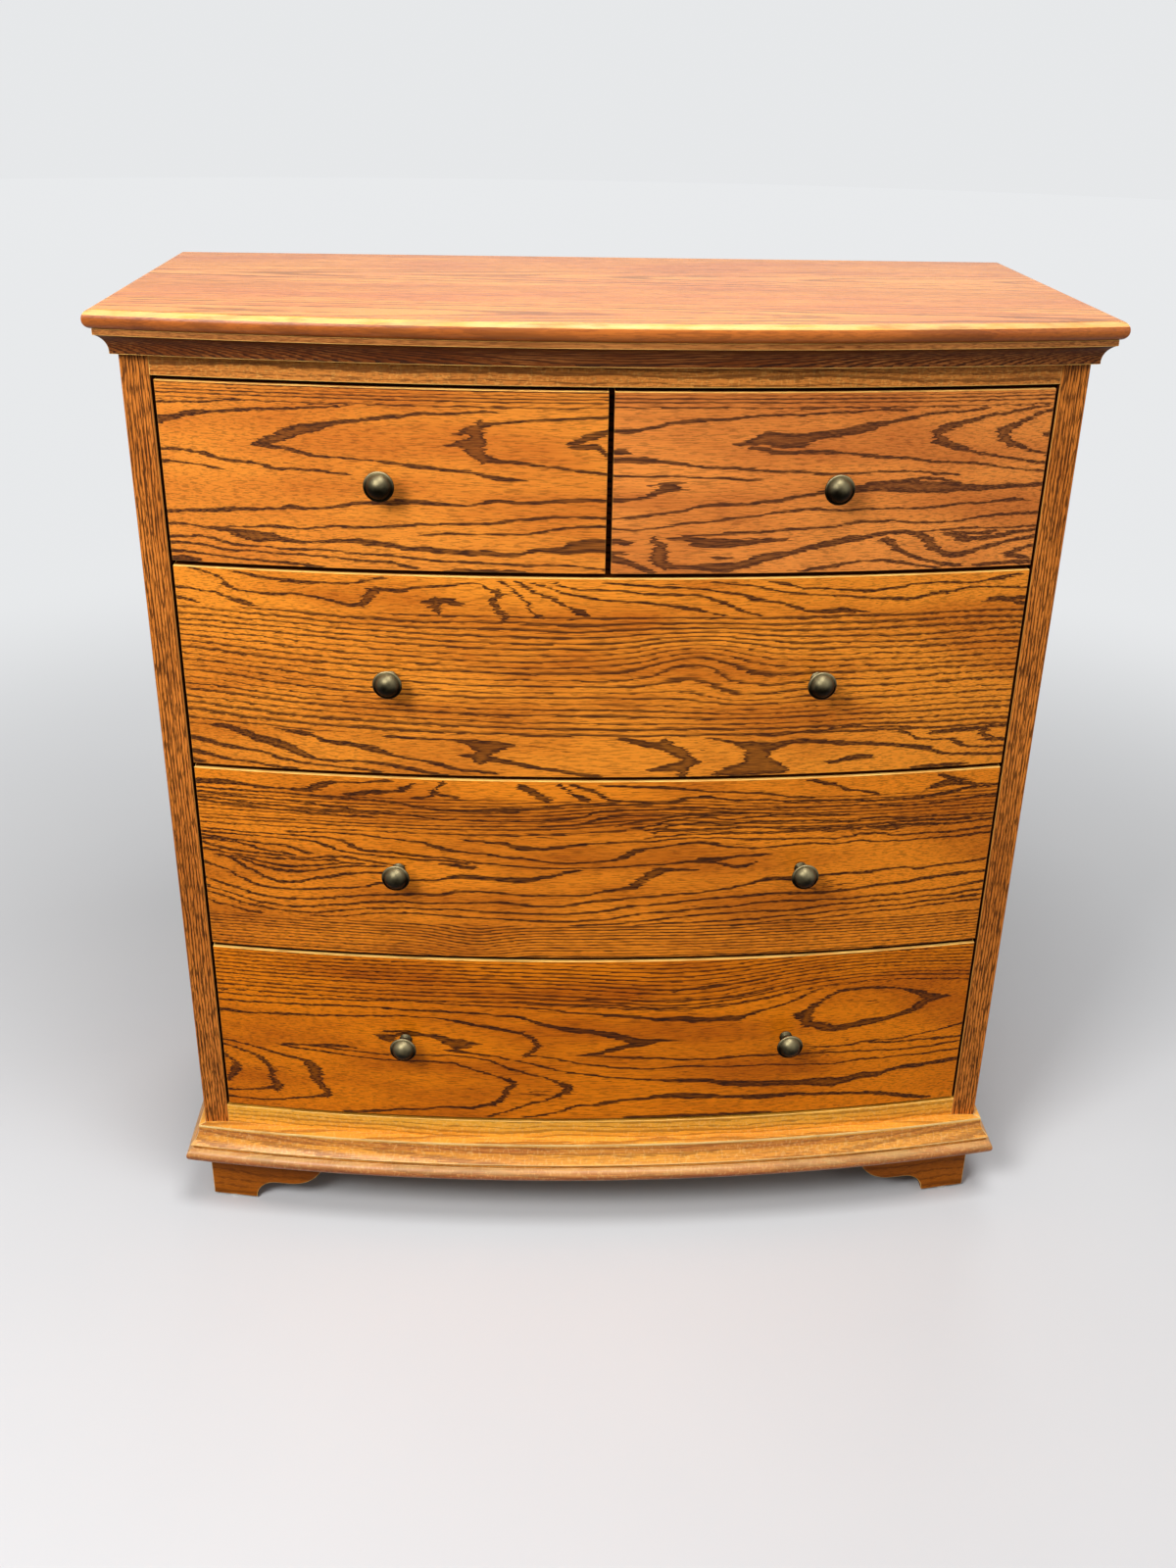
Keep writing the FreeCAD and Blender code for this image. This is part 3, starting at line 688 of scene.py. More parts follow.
def run_along(section: Iterable[Vector], travel: Vector) -> BMesh:
    """Pushes a closed flat section along a line into a solid."""
    bm = bmesh.new()
    face = bmesh.ops.edgeloop_fill(bm, edges=closed_wire(bm, section))["faces"][0]
    grown = bmesh.ops.extrude_face_region(bm, geom=[face], use_keep_orig=True)["geom"]
    bmesh.ops.translate(bm, vec=travel, verts=[item for item in grown if isinstance(item, BMVert)])
    bmesh.ops.recalc_face_normals(bm, faces=bm.faces)
    return bm


def sawn(bm: BMesh, point: Vector, normal: Vector) -> None:
    """Cuts off what lies on the normal's side of a plane and closes the cut."""
    everything = bm.verts[:] + bm.edges[:] + bm.faces[:]
    cut = bmesh.ops.bisect_plane(bm, geom=everything, dist=TOUCH / 10, plane_co=point, plane_no=normal,
                                 clear_outer=True)
    rim = [item for item in cut["geom_cut"] if isinstance(item, BMEdge)]
    bmesh.ops.edgeloop_fill(bm, edges=rim)


def eased(bm: BMesh, width: float, segments: int = 3, turn: float = 38.0) -> list[BMFace]:
    """Rounds every edge that is sharper than turn degrees, and marks the rounded faces as arrises, which the
    oak paints paler as rubbing and a painted highlight.
    """
    arris = bm.faces.layers.float.get("arris") or bm.faces.layers.float.new("arris")
    bmesh.ops.remove_doubles(bm, verts=bm.verts, dist=TOUCH)
    bmesh.ops.recalc_face_normals(bm, faces=bm.faces)
    limit = math.radians(turn)
    sharp = [edge for edge in bm.edges if edge.is_manifold and edge.calc_face_angle() > limit]
    rounded = bmesh.ops.bevel(bm, geom=sharp, offset=width, offset_type="OFFSET", segments=segments,
                              profile=0.5, affect="EDGES", clamp_overlap=True, material=-1)["faces"]
    for face in rounded:
        face[arris] = 1.0
    return rounded


def arc(centre: Pair, radius: float, start: float, end: float, steps: int) -> Outline:
    """Returns points along an arc of an outline, both ends included.

    Args:
        centre: The arc's centre.
        radius: The arc's radius.
        start: The angle of the first point, in degrees.
        end: The angle of the last point, in degrees.
        steps: How many flats make the arc.

    Returns:
        The points in order.
    """
    points = []
    for step in range(steps + 1):
        angle = math.radians(start + (end - start) * step / steps)
        points.append((centre[0] + radius * math.cos(angle), centre[1] + radius * math.sin(angle)))
    return points


def hollow(first: Pair, last: Pair, radius: float, steps: int = 10) -> Outline:
    """Returns points along a hollow arc between two points of a section, its centre on the outer side."""
    start, end = Vector(first), Vector(last)
    chord = end - start
    rise = math.sqrt(radius ** 2 - (chord.length / 2) ** 2)
    centre = (start + end) / 2 + Vector((chord.y, -chord.x)).normalized() * rise
    angles = [math.degrees(math.atan2(point.y - centre.y, point.x - centre.x)) for point in (start, end)]
    if angles[1] - angles[0] > 180:
        angles[1] -= 360
    if angles[0] - angles[1] > 180:
        angles[1] += 360
    return arc((centre.x, centre.y), radius, angles[0], angles[1], steps)


def placed(bm: BMesh, name: str, material: Material, body: str, nodes: Sequence[str],
           edge: Optional[Material] = None) -> bpy.types.Object:
    """Sets a finished mesh into the frame.

    Args:
        bm: The mesh, which is used up.
        name: The piece's name.
        material: Its finish.
        body: The body that it moves with.
        nodes: The solids that it stands for.
        edge: The finish of the faces with material index 1.

    Returns:
        The piece.
    """
    bmesh.ops.remove_doubles(bm, verts=bm.verts, dist=TOUCH)
    bmesh.ops.recalc_face_normals(bm, faces=bm.faces)
    for face in bm.faces:
        face.smooth = True
    mesh = bpy.data.meshes.new(name)
    bm.to_mesh(mesh)
    bm.free()
    mesh.set_sharp_from_angle(angle=CREASE)
    mesh.materials.append(material)
    if edge:
        mesh.materials.append(edge)
    piece = bpy.data.objects.new(name, mesh)
    bpy.context.scene.collection.objects.link(piece)
    piece.modifiers.new("even_light", "WEIGHTED_NORMAL").keep_sharp = True
    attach(piece, body)
    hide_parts(*nodes)
    LOG.info("%s: %d faces, stands for %s", name, len(mesh.polygons), ", ".join(nodes))
    return piece


OAK = OakFinish()
OAK_LOWER = OakFinish(pale=tint(236, 130, 12), deep=tint(172, 80, 5), dark=tint(42, 15, 2))
OAK_MIDDLE = OakFinish(pale=tint(240, 138, 30), deep=tint(172, 86, 14), dark=tint(46, 19, 4))
OAK_UPPER = OakFinish(pale=tint(242, 146, 42), deep=tint(188, 97, 22), dark=tint(56, 26, 9))
OAK_TOP_LEFT = OakFinish(pale=tint(233, 141, 48), deep=tint(196, 104, 34), dark=tint(60, 30, 14))
OAK_TOP_RIGHT = OakFinish(pale=tint(232, 140, 60), deep=tint(186, 100, 41), dark=tint(70, 37, 20))
OAK_STILE = OakFinish(pale=tint(218, 128, 48), deep=tint(168, 88, 22), dark=tint(40, 15, 3),
                      worn_and_highlit=tint(190, 112, 44), pores=0.8, pore_length=18.0, pore_width=1.8,
                      pore_start=0.48, cloud=0.5)
OAK_RAIL = OakFinish(pale=tint(216, 134, 56), deep=tint(174, 98, 36), dark=tint(78, 40, 12), contrast=0.8,
                     pores=0.6, pore_length=8.0, pore_width=1.4, flecks=0.2, cloud=0.4)
OAK_SILL = OakFinish(pale=tint(255, 184, 64), deep=tint(226, 140, 40), dark=tint(120, 64, 16), contrast=0.6,
                     pores=0.35, flecks=0.45, cloud=0.4)
# The plinth's paler edge colour is a painted highlight on the bead and the lip, and rubbing on its edges.
OAK_PLINTH = OakFinish(pale=tint(250, 172, 60), deep=tint(182, 100, 48), dark=tint(110, 56, 16),
                       worn_and_highlit=tint(255, 218, 142), contrast=0.6, pores=0.4, flecks=0.2, cloud=0.25,
                       specular=0.3, roughness=0.32)
# Its deep colour, which the hollow mostly takes, is darkened partly as stain and partly as painted shade
# under the fillet.
OAK_CORNICE = OakFinish(pale=tint(220, 142, 72), deep=tint(100, 47, 11), dark=tint(38, 15, 3), cloud=0.3)
# The top's paler edge colour is only the painted highlight along the brow of its nosing.
OAK_TOP = OakFinish(pale=tint(247, 152, 38), deep=tint(218, 117, 22), worn_and_highlit=tint(255, 208, 142),
                    contrast=0.75, roughness=0.24, specular=0.16)
OAK_FOOT = OakFinish(pale=tint(190, 102, 18), deep=tint(144, 71, 8), contrast=0.55)
# Painted shade: the darker oak under the top's nosing.
OAK_NOSING_PAINTED_SHADE = OakFinish(pale=tint(184, 101, 36), deep=tint(146, 72, 20), contrast=0.4, pores=0.75,
                       pore_length=14.0, pore_width=1.5, roughness=0.3, specular=0.25)
# Painted shade: a dark oak for the faces in the gaps round the drawers and inside the case, where shade
# falls.
OAK_PAINTED_SHADE = OakFinish(pale=tint(96, 48, 14), deep=tint(70, 34, 10), dark=tint(40, 18, 5), roughness=0.6,
                      specular=0.05)
OAK_INSIDE = OakFinish(pale=tint(214, 172, 116), deep=tint(196, 150, 92), dark=tint(150, 106, 62),
                       contrast=0.6, worn_and_highlit=tint(226, 190, 138), roughness=0.55)


@dataclass
class TopBoard:
    """The top, with a rounded nosing on its front and sides.

    Attributes:
        nosing, nosing_flats: The nosing's radius, and how many flats make it.
        painted_shade_turn: Its faces whose normals rise less than this take a darker oak, painted shade
            under the nosing.
            highlight_turn, brow_highlight: Those from there up to this rise are painted paler as a highlight
                along the brow, and how much.
        front_steps: How many flats make the bowed front.
    """

    nosing: float = 8.6 * MM
    nosing_flats: int = 10
    painted_shade_turn: float = 0.45
    highlight_turn: float = 0.93
    brow_highlight: float = 0.55
    front_steps: int = 72
    figure: Figure = Figure((
        Leaf(top=-118, heart=-190, flat=30, rings=0.1, lean=0.004, waver=0.6),
        Leaf(top=2, heart=-2000, rings=0.16, lean=0.001, waver=1.0, tone=0.15),
        Leaf(top=128, heart=70, flat=26, rings=0.09, lean=-0.005, waver=0.6, tone=-0.05),
        Leaf(heart=-2000, rings=0.14, lean=0.0014, waver=1.2, tone=0.1),
    ))

    def mesh(self) -> BMesh:
        """Builds the board from its plan."""
        low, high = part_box("top_board")
        radius = BOW.axis_y - low.y
        corners = []
        for step in range(self.front_steps + 1):
            x = low.x + (high.x - low.x) * step / self.front_steps
            corners.append(Vector((x, BOW.y(x, radius), low.z)))
        corners += [Vector((high.x, high.y, low.z)), Vector((low.x, high.y, low.z))]
        bm = run_along(corners, Vector((0, 0, high.z - low.z)))
        arris = bm.faces.layers.float.new("arris")
        level = [edge for edge in bm.edges
                 if abs(edge.verts[0].co.z - edge.verts[1].co.z) < TOUCH
                 and not all(vert.co.y > high.y - TOUCH for vert in edge.verts)]
        bmesh.ops.bevel(bm, geom=level, offset=self.nosing, offset_type="OFFSET", segments=self.nosing_flats,
                        profile=0.5, affect="EDGES", clamp_overlap=True, material=-1)
        # Painted light: the brow of the nosing is painted paler as a highlight, and the underside takes the
        # darker oak as painted shade.
        for face in bm.faces:
            face[arris] = self.brow_highlight if self.painted_shade_turn < face.normal.z < self.highlight_turn else 0.0
            face.material_index = int(face.normal.z < self.painted_shade_turn)
        return bm

    def build(self) -> None:
        """Builds and dresses the board, with painted shade, a darker oak, on the underside of its nosing."""
        material = OAK_TOP.material("top_oak", Grain.ACROSS_TOP, self.figure, ORIGIN)
        nosing = OAK_NOSING_PAINTED_SHADE.material("top_nosing_painted_shade_oak", Grain.ACROSS_TOP, self.figure, ORIGIN)
        placed(self.mesh(), "top_board_dressed", material, CARCASS, ["top_board"], nosing)


@dataclass
class Moulding:
    """A run of moulding round the front and sides of the carcass, mitred at the corners.

    Attributes:
        name: The start of its nodes' names.
        projection: How far its front stands out from the moulding line.
        finish: The oak that it is dressed in.
        figure: Its growth lines, with a tone for each part of the section.
        front_lip: How far in front of the stiles the mitres start.
        end_shift: How far the grain of the two ends is moved, so that they differ.
    """

    name: str
    projection: float
    finish: OakFinish
    figure: Figure
    ease: float = 0.5 * MM
    front_lip: float = 2.0 * MM
    end_shift: float = 0.3

    def section(self, base: float) -> Outline:
        """Returns the section as projection and height, from its back at the bottom."""
        raise NotImplementedError

    def worn_and_lit(self, bm: BMesh, base: float) -> BMesh:
        """Eases the edges of a piece that starts at a height, marks them to be paler from rubbing and a
        painted highlight, and returns it.
        """
        eased(bm, self.ease, segments=2)
        return bm

    def corner(self, side: int) -> tuple[Vector, Vector]:
        """Returns a point of a corner's mitre plane, and its normal towards the side piece."""
        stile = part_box("front_stile_right")
        reach = 2 * self.projection
        root = Vector((stile[1].x, stile[0].y - self.front_lip, 0))
        tip_x = root.x + reach
        tip = Vector((tip_x, BOW.y(tip_x, self.line + reach), 0))
        run = tip - root
        normal = Vector((-run.y, run.x, 0)).normalized()
        return Vector((side * root.x, root.y, 0)), Vector((side * normal.x, normal.y, 0))

    @property
    def line(self) -> float:
        """The radius of the line that the sections are measured from."""
        return BOW.axis_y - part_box(f"{self.name}_front")[0].y - self.projection

    def front(self) -> BMesh:
        """Builds the bowed front piece, with its back against the rail and the stiles."""
        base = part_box(f"{self.name}_front")[0].z
        stile_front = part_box("front_stile_right")[0].y
        section = [(self.line + out, z) for out, z in self.section(base)]
        back = BOW.face_radius
        section = [(back if index in (0, len(section) - 1) else radius, z)
                   for index, (radius, z) in enumerate(section)]
        bm = turned_about_bow(section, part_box("top_board")[1].x)
        for vert in bm.verts:
            if (vert.co - BOW.centre).xy.length < back + 10 * TOUCH:
                vert.co.y = min(vert.co.y, stile_front)
        for side in SIDES.values():
            sawn(bm, *self.corner(side))
        return bm

    def end(self, side: int) -> BMesh:
        """Builds the straight piece along one side."""
        low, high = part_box(f"{self.name}_{'right' if side == RIGHT else 'left'}")
        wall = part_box("side_panel_right")[1].x
        spare = 2 * self.projection
        section = [Vector((side * (wall + out), high.y, z)) for out, z in self.section(low.z)]
        bm = run_along(section, Vector((0, low.y - high.y - spare, 0)))
        point, normal = self.corner(side)
        sawn(bm, point, -normal)
        return bm

    def build(self) -> None:
        """Builds and dresses the three pieces."""
        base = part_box(f"{self.name}_front")[0].z
        for word, side in (("front", 0), *SIDES.items()):
            node = f"{self.name}_{word}"
            bm = self.worn_and_lit(self.end(side) if side else self.front(), base)
            grain = Grain.FRONT_TO_BACK if side else Grain.ACROSS_FRONT
            place = Vector((0.0, side * self.end_shift, base))
            material = self.finish.material(f"{node}_oak", grain, self.figure, place)
            placed(bm, f"{node}_dressed", material, CARCASS, [node])


@dataclass
class Cornice(Moulding):
    """The hollow moulding under the top."""

    name: str = "cornice"
    projection: float = 18 * MM
    finish: OakFinish = OAK_CORNICE
    figure: Figure = Figure((
        # The hollow's deep tone is partly painted shade under the fillet.
        Leaf(top=18.6, rings=0.2, lean=0.001, waver=0.9, tone=0.8),
        Leaf(rings=0.0, lean=0.0, start=0.45, waver=0.2, tone=0.4),
    ), slant=2.6)
    foot: float = 6.5 * MM
    fillet: float = 6 * MM
    step: float = 1 * MM
    cove_radius: float = 18.6 * MM

    def section(self, base: float) -> Outline:
        """Returns the section as projection and height."""
        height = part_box("cornice_front")[1].z - base
        rise = height - self.fillet
        cove = hollow((self.foot, 0), (self.projection - self.step, rise), self.cove_radius)
        points = [(0, 0), *cove, (self.projection, rise), (self.projection, height), (0, height)]
        return [(out, base + up) for out, up in points]


@dataclass
class Plinth(Moulding):
    """The moulding at the foot: a ledge, a hollow, a nib, a quirk and a bead."""

    name: str = "plinth"
    projection: float = 23 * MM
    finish: OakFinish = OAK_PLINTH
    figure: Figure = Figure((
        Leaf(top=17, rings=0.08, lean=0.001, waver=1.2, tone=0.8),
        Leaf(top=33, rings=0.1, lean=0.001, waver=0.5, tone=0.2),
        Leaf(top=41.5, rings=0.16, lean=0.001, waver=0.5, tone=0.5),
        Leaf(rings=0.1, lean=0.002, waver=1.0, tone=0.0),
    ), slant=0.5)
    ease: float = 1.1 * MM
    bead_radius: float = 8 * MM
    quirk: float = 5 * MM
    nib: float = 17 * MM
    nib_height: float = 1.5 * MM
    ledge: float = 7 * MM
    ledge_lip: float = 2.4 * MM
    bead_highlight: float = 0.42
    level_turn: float = 0.95
    cove_radius: float = 26 * MM

    def section(self, base: float) -> Outline:
        """Returns the section as projection and height."""
        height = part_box("plinth_front")[1].z - base
        root = self.projection - self.bead_radius
        nib_base = 2 * self.bead_radius + self.quirk
        bead = arc((root, self.bead_radius), self.bead_radius, -90, 90, 14)
        cove = hollow((self.nib, nib_base + self.nib_height), (self.ledge, height - self.ledge_lip),
                      self.cove_radius)
        points = [(0, 0), *bead, (root, nib_base), (self.nib, nib_base), *cove, (self.ledge, height),
                  (0, height)]
        return [(out, base + up) for out, up in points]

    def worn_and_lit(self, bm: BMesh, base: float) -> BMesh:
        """Eases the edges, paints a highlight on the upper side of the bead, and paints the lip of the ledge
        paler, as rubbing and a painted highlight.
        """
        super().worn_and_lit(bm, base)
        arris = bm.faces.layers.float["arris"]
        lip_base = max(vert.co.z for vert in bm.verts) - self.ledge_lip
        # Painted highlight: the upper side of the bead is paler the more it faces up, and the lip of the
        # ledge is paler all over, as rubbing and a painted highlight.
        for face in bm.faces:
            height = face.calc_center_median().z
            if height < base + 2 * self.bead_radius:
                face[arris] = self.bead_highlight * max(face.normal.z, 0.0)
            elif height > lip_base and face.normal.z < self.level_turn:
                face[arris] = 1.0
        return bm


@dataclass
class Carcass:
    """The boards of the case that show: stiles, rails and side panels."""

    ease: float = 1.2 * MM
    side_heart: float = 0.5
    stile_figure: Figure = Figure((Leaf(rings=0.3, lean=0.0012, waver=0.9),))
    rail_figure: Figure = Figure((Leaf(rings=0.14, lean=0.001, waver=1.2),))
    side_figure: Figure = Figure((
        Leaf(top=-20, heart=-90, flat=24, rings=0.1, lean=-0.006, waver=0.5),
        Leaf(top=112, heart=40, flat=30, rings=0.09, lean=0.005, waver=0.5, tone=0.12),
        Leaf(heart=-2000, rings=0.17, lean=0.001, waver=0.9, tone=0.05),
    ))

    def board(self, node: str, material: Material, edge: Material) -> None:
        """Builds a straight board with eased edges in a node's place, with painted shade, a dark oak, on its
        faces towards the middle.
        """
        low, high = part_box(node)
        bm = block(low, high)
        eased(bm, self.ease)
        # Painted shade: the faces towards the middle, in the gaps and inside the case, take the dark oak.
        for face in bm.faces:
            if face.normal.x * (low.x + high.x) < -FACING * abs(low.x + high.x):
                face.material_index = 1
        placed(bm, f"{node}_dressed", material, CARCASS, [node], edge)

    def rail(self, node: str, finish: OakFinish) -> None:
        """Builds a bowed rail with eased edges in a node's place."""
        low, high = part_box(node)
        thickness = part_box("front_stile_right")[1].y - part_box("front_stile_right")[0].y
        inner = BOW.face_radius - thickness
        section = [(inner, low.z), (BOW.face_radius, low.z), (BOW.face_radius, high.z), (inner, high.z)]
        bm = turned_about_bow(section, high.x)
        for side in SIDES.values():
            sawn(bm, Vector((side * high.x, 0, 0)), Vector((side, 0, 0)))
        eased(bm, self.ease)
        material = finish.material(f"{node}_oak", Grain.ACROSS_FRONT, self.rail_figure, low)
        placed(bm, f"{node}_dressed", material, CARCASS, [node])

    def build(self) -> None:
        """Builds and dresses the boards."""
        # Painted shade: the dark oak of the faces in the gaps and inside the case.
        edge = OAK_PAINTED_SHADE.material("case_edge_painted_shade_oak", Grain.UPRIGHT_SIDE, self.rail_figure, ORIGIN)
        heart = Vector((0, 0, self.side_heart))
        for word in SIDES:
            stile = f"front_stile_{word}"
            material = OAK_STILE.material(f"{stile}_oak", Grain.UPRIGHT_FRONT, self.stile_figure,
                                          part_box(stile)[0])
            self.board(stile, material, edge)
            panel = f"side_panel_{word}"
            material = OAK.material(f"{panel}_oak", Grain.UPRIGHT_SIDE, self.side_figure, heart)
            self.board(panel, material, edge)
        self.rail("top_rail", OAK_RAIL)
        self.rail("bottom_rail", OAK_SILL)


@dataclass
class Feet:
    """The scrolled bracket feet: two boards meeting at each corner of the chest."""

    flat: float = 55 * MM
    rise: float = 25 * MM
    level: float = 19 * MM
    thickness: float = 20 * MM
    ease: float = 0.9 * MM
    figure: Figure = Figure((Leaf(rings=0.08, lean=0.002, waver=0.9),))

    def scroll(self, height: float, start: float) -> Outline:
        """Returns a bracket's outline as distance from the chest's corner and height."""
        belly = height - self.rise
        end = self.flat + self.rise + self.level
        hollow_part = arc((self.flat + self.rise, 0), self.rise, 180, 90, 10)
        round_part = arc((end, height), belly, -90, 0, 12)
        return [(start, 0), *hollow_part, *round_part, (start, height)]

    def bracket(self, corner: Vector, run: Vector, depth: Vector, height: float,
                start: float = 0.0) -> BMesh:
        """Builds one board of a foot.

        Args:
            corner: The chest's corner at the foot's bottom.
            run: The direction away from the corner.
            depth: The way into the board, as long as it is thick.
            height: The foot's height.
            start: How far from the corner the board starts.

        Returns:
            The board.
        """
        outline = [corner + run * out + Vector((0, 0, up)) for out, up in self.scroll(height, start)]
        return run_along(outline, depth)

    def build(self) -> None:
        """Builds and dresses the four feet."""
        for end in ("front", "rear"):
            for word, side in SIDES.items():
                self.foot(end, word, side)

    def foot(self, end: str, word: str, side: int) -> None:
        """Builds one foot from its two boards."""
        node = f"foot_{end}_{word}"
        low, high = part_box(node)
        height = high.z - low.z
        outer_x = high.x if side == RIGHT else low.x
        inward = Vector((-side, 0, 0))
        if end == "front":
            corner = Vector((outer_x, BOW.y(outer_x, BOW.face_radius), low.z))
            face = self.bracket(corner, inward, Vector((0, self.thickness, 0)), height)
            for vert in face.verts:
                vert.co.y += BOW.y(vert.co.x, BOW.face_radius) - corner.y
            flank_run = Vector((0, 1, 0))
        else:
            corner = Vector((outer_x, high.y, low.z))
            face = self.bracket(corner, inward, Vector((0, -self.thickness, 0)), height)
            flank_run = Vector((0, -1, 0))
        flank = self.bracket(corner, flank_run, inward * self.thickness, height, self.thickness)
        for bm, board, grain in ((face, "face", Grain.ACROSS_FRONT), (flank, "flank", Grain.FRONT_TO_BACK)):
            eased(bm, self.ease, segments=2, turn=50.0)
            material = OAK_FOOT.material(f"{node}_{board}_oak", grain, self.figure, corner)
            placed(bm, f"{node}_{board}_dressed", material, CARCASS, [node])


@dataclass
class Knob:
    """A turned mushroom knob on a stepped collar."""

    collar: float = 7.4 * MM
    collar_height: float = 2.2 * MM
    step: float = 6.0 * MM
    step_height: float = 4.0 * MM
    neck: float = 4.8 * MM
    neck_height: float = 15 * MM
    rim: float = 15.4 * MM
    lip: float = 1.3 * MM
    rim_height: float = 20.5 * MM
    length: float = 32 * MM
    cove_radius: float = 9 * MM
    hook: float = 1.2 * MM
    soft: float = 0.5 * MM
    spin_steps: int = 48

    def profile(self) -> Outline:
        """Returns half the section with softened corners, as radius and distance from the drawer's face."""
        soft = self.soft
        face = self.rim - 2 * self.lip
        dome_rise = self.length - self.rim_height - 1.7 * self.lip
        dome = (face ** 2 + dome_rise ** 2) / (2 * dome_rise)
        sweep = math.degrees(math.asin(face / dome))
        top = arc((0, self.length - dome), dome, 90 - sweep, 90, 16)
        lip = arc((self.rim - self.lip, self.rim_height + self.lip), self.lip, -70, 140, 9)
        under = hollow((self.neck, self.neck_height), (self.rim - self.hook, self.rim_height),
                       self.cove_radius, 8)
        return [
            (self.collar - soft, 0), (self.collar, soft), (self.collar, self.collar_height - soft),
            (self.collar - soft, self.collar_height), (self.step + soft, self.collar_height),
            (self.step, self.collar_height + soft), (self.step, self.step_height - soft),
            (self.step - soft, self.step_height), (self.neck + soft, self.step_height),
            (self.neck, self.step_height + soft), *under, *lip, *top,
        ]

    def mesh(self, x: float, z: float) -> BMesh:
        """Builds a knob square to the bowed face at a place."""
        bm = bmesh.new()
        points = [bm.verts.new((radius, -out, 0)) for radius, out in self.profile()]
        edges = [bm.edges.new(pair) for pair in zip(points, points[1:])]
        bmesh.ops.spin(bm, geom=points + edges, cent=(0, 0, 0), axis=(0, 1, 0), dvec=(0, 0, 0),
                       angle=2 * math.pi, steps=self.spin_steps, use_merge=True, use_duplicate=False)
        bmesh.ops.remove_doubles(bm, verts=bm.verts, dist=TOUCH)
        bmesh.ops.holes_fill(bm, edges=[edge for edge in bm.edges if edge.is_boundary], sides=0)
        # Painted light: this height value makes the brass paler on top, as rubbing and a painted highlight,
        # and darker below, as painted shade.
        wear_and_painted_light = bm.verts.layers.float.new("wear_and_painted_light")
        for vert in bm.verts:
            vert[wear_and_painted_light] = 0.5 + vert.co.z / (2 * self.rim)
        turn = Matrix.Rotation(math.asin(x / BOW.face_radius), 4, "Z")
        place = Matrix.Translation((x, BOW.y(x, BOW.face_radius), z))
        bmesh.ops.transform(bm, matrix=place @ turn, verts=bm.verts)
        return bm


@dataclass
class Drawer:
    """What shows of one closed drawer: its bowed front and its knobs.

    Attributes:
        name: The drawer's body.
        figure: The grain of its front.
        finish: The oak of its front.
        knob_places: Where its knobs sit across the chest.
        trim, end_trim: What the gaps that show take off the front's top and bottom, and off its ends.
        highlight_strip: The width of the band of top face along the upper edge that is painted bright, a
            painted highlight.
            under_turn, under_highlight: Edges whose normals rise less than this keep only this share of
                their paler colour, so that the painted highlight lies along the upper edge.
    """

    name: str
    figure: Figure
    finish: OakFinish
    knob_places: tuple[float, ...]
    ease: float = 1.8 * MM
    trim: float = 1.0 * MM
    end_trim: float = 0.3 * MM
    highlight_strip: float = 4.0 * MM
    thickness: float = 20 * MM
    under_highlight: float = 0.1
    under_turn: float = 0.2
    knob: Knob = field(default_factory=Knob)

    def front(self) -> None:
        """Builds and dresses the bowed front, with a painted highlight along its upper edge and painted
        shade, a dark oak, on its top, bottom and end faces in the gaps.
        """
        node = f"{self.name}_front"
        low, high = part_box(node)
        slim = Vector((self.end_trim, 0, self.trim))
        low, high = low + slim, high - slim
        inner = BOW.face_radius - self.thickness
        brink = BOW.face_radius - self.highlight_strip
        section = [(inner, low.z), (BOW.face_radius, low.z), (BOW.face_radius, high.z), (brink, high.z),
                   (inner, high.z)]
        bm = turned_about_bow(section, max(abs(low.x), abs(high.x)))
        sawn(bm, Vector((high.x, 0, 0)), Vector((1, 0, 0)))
        sawn(bm, Vector((low.x, 0, 0)), Vector((-1, 0, 0)))
        arris = bm.faces.layers.float.new("arris")
        rounded = set(eased(bm, self.ease))
        # Painted light: the upper arris and the band of top face behind it are painted bright as a
        # highlight, the lower and end arrises keep little of their paler colour, and the plain top, bottom
        # and end faces take the dark oak as painted shade in the gaps.
        for face in bm.faces:
            if face.normal.z < self.under_turn:
                face[arris] *= self.under_highlight
            if face.normal.z > FACING and (face.calc_center_median() - BOW.centre).xy.length > brink:
                face[arris] = 1.0
            elif face not in rounded and max(abs(face.normal.z), abs(face.normal.x)) > FACING:
                face.material_index = 1
        middle = Vector(((low.x + high.x) / 2, 0, low.z))
        material = self.finish.material(f"{node}_oak", Grain.ACROSS_FRONT, self.figure, middle)
        # Painted shade for the faces in the gaps.
        edge = OAK_PAINTED_SHADE.material(f"{node}_edge_painted_shade_oak", Grain.ACROSS_FRONT, self.figure, middle)
        placed(bm, f"{node}_dressed", material, self.name, [node], edge)

    def knobs(self, brass: Material) -> None:
        """Builds and dresses the knobs as one set."""
        low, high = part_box(f"{self.name}_front")
        bm = bmesh.new()
        for x in self.knob_places:
            single = self.knob.mesh(x, (low.z + high.z) / 2)
            mesh = bpy.data.meshes.new("knob_blank")
            single.to_mesh(mesh)
            single.free()
            bm.from_mesh(mesh)
            bpy.data.meshes.remove(mesh)
        placed(bm, f"{self.name}_knobs_dressed", brass, self.name, [f"{self.name}_knobs"])

    def build(self, brass: Material) -> None:
        """Builds and dresses the drawer's front and knobs."""
        self.front()
        self.knobs(brass)


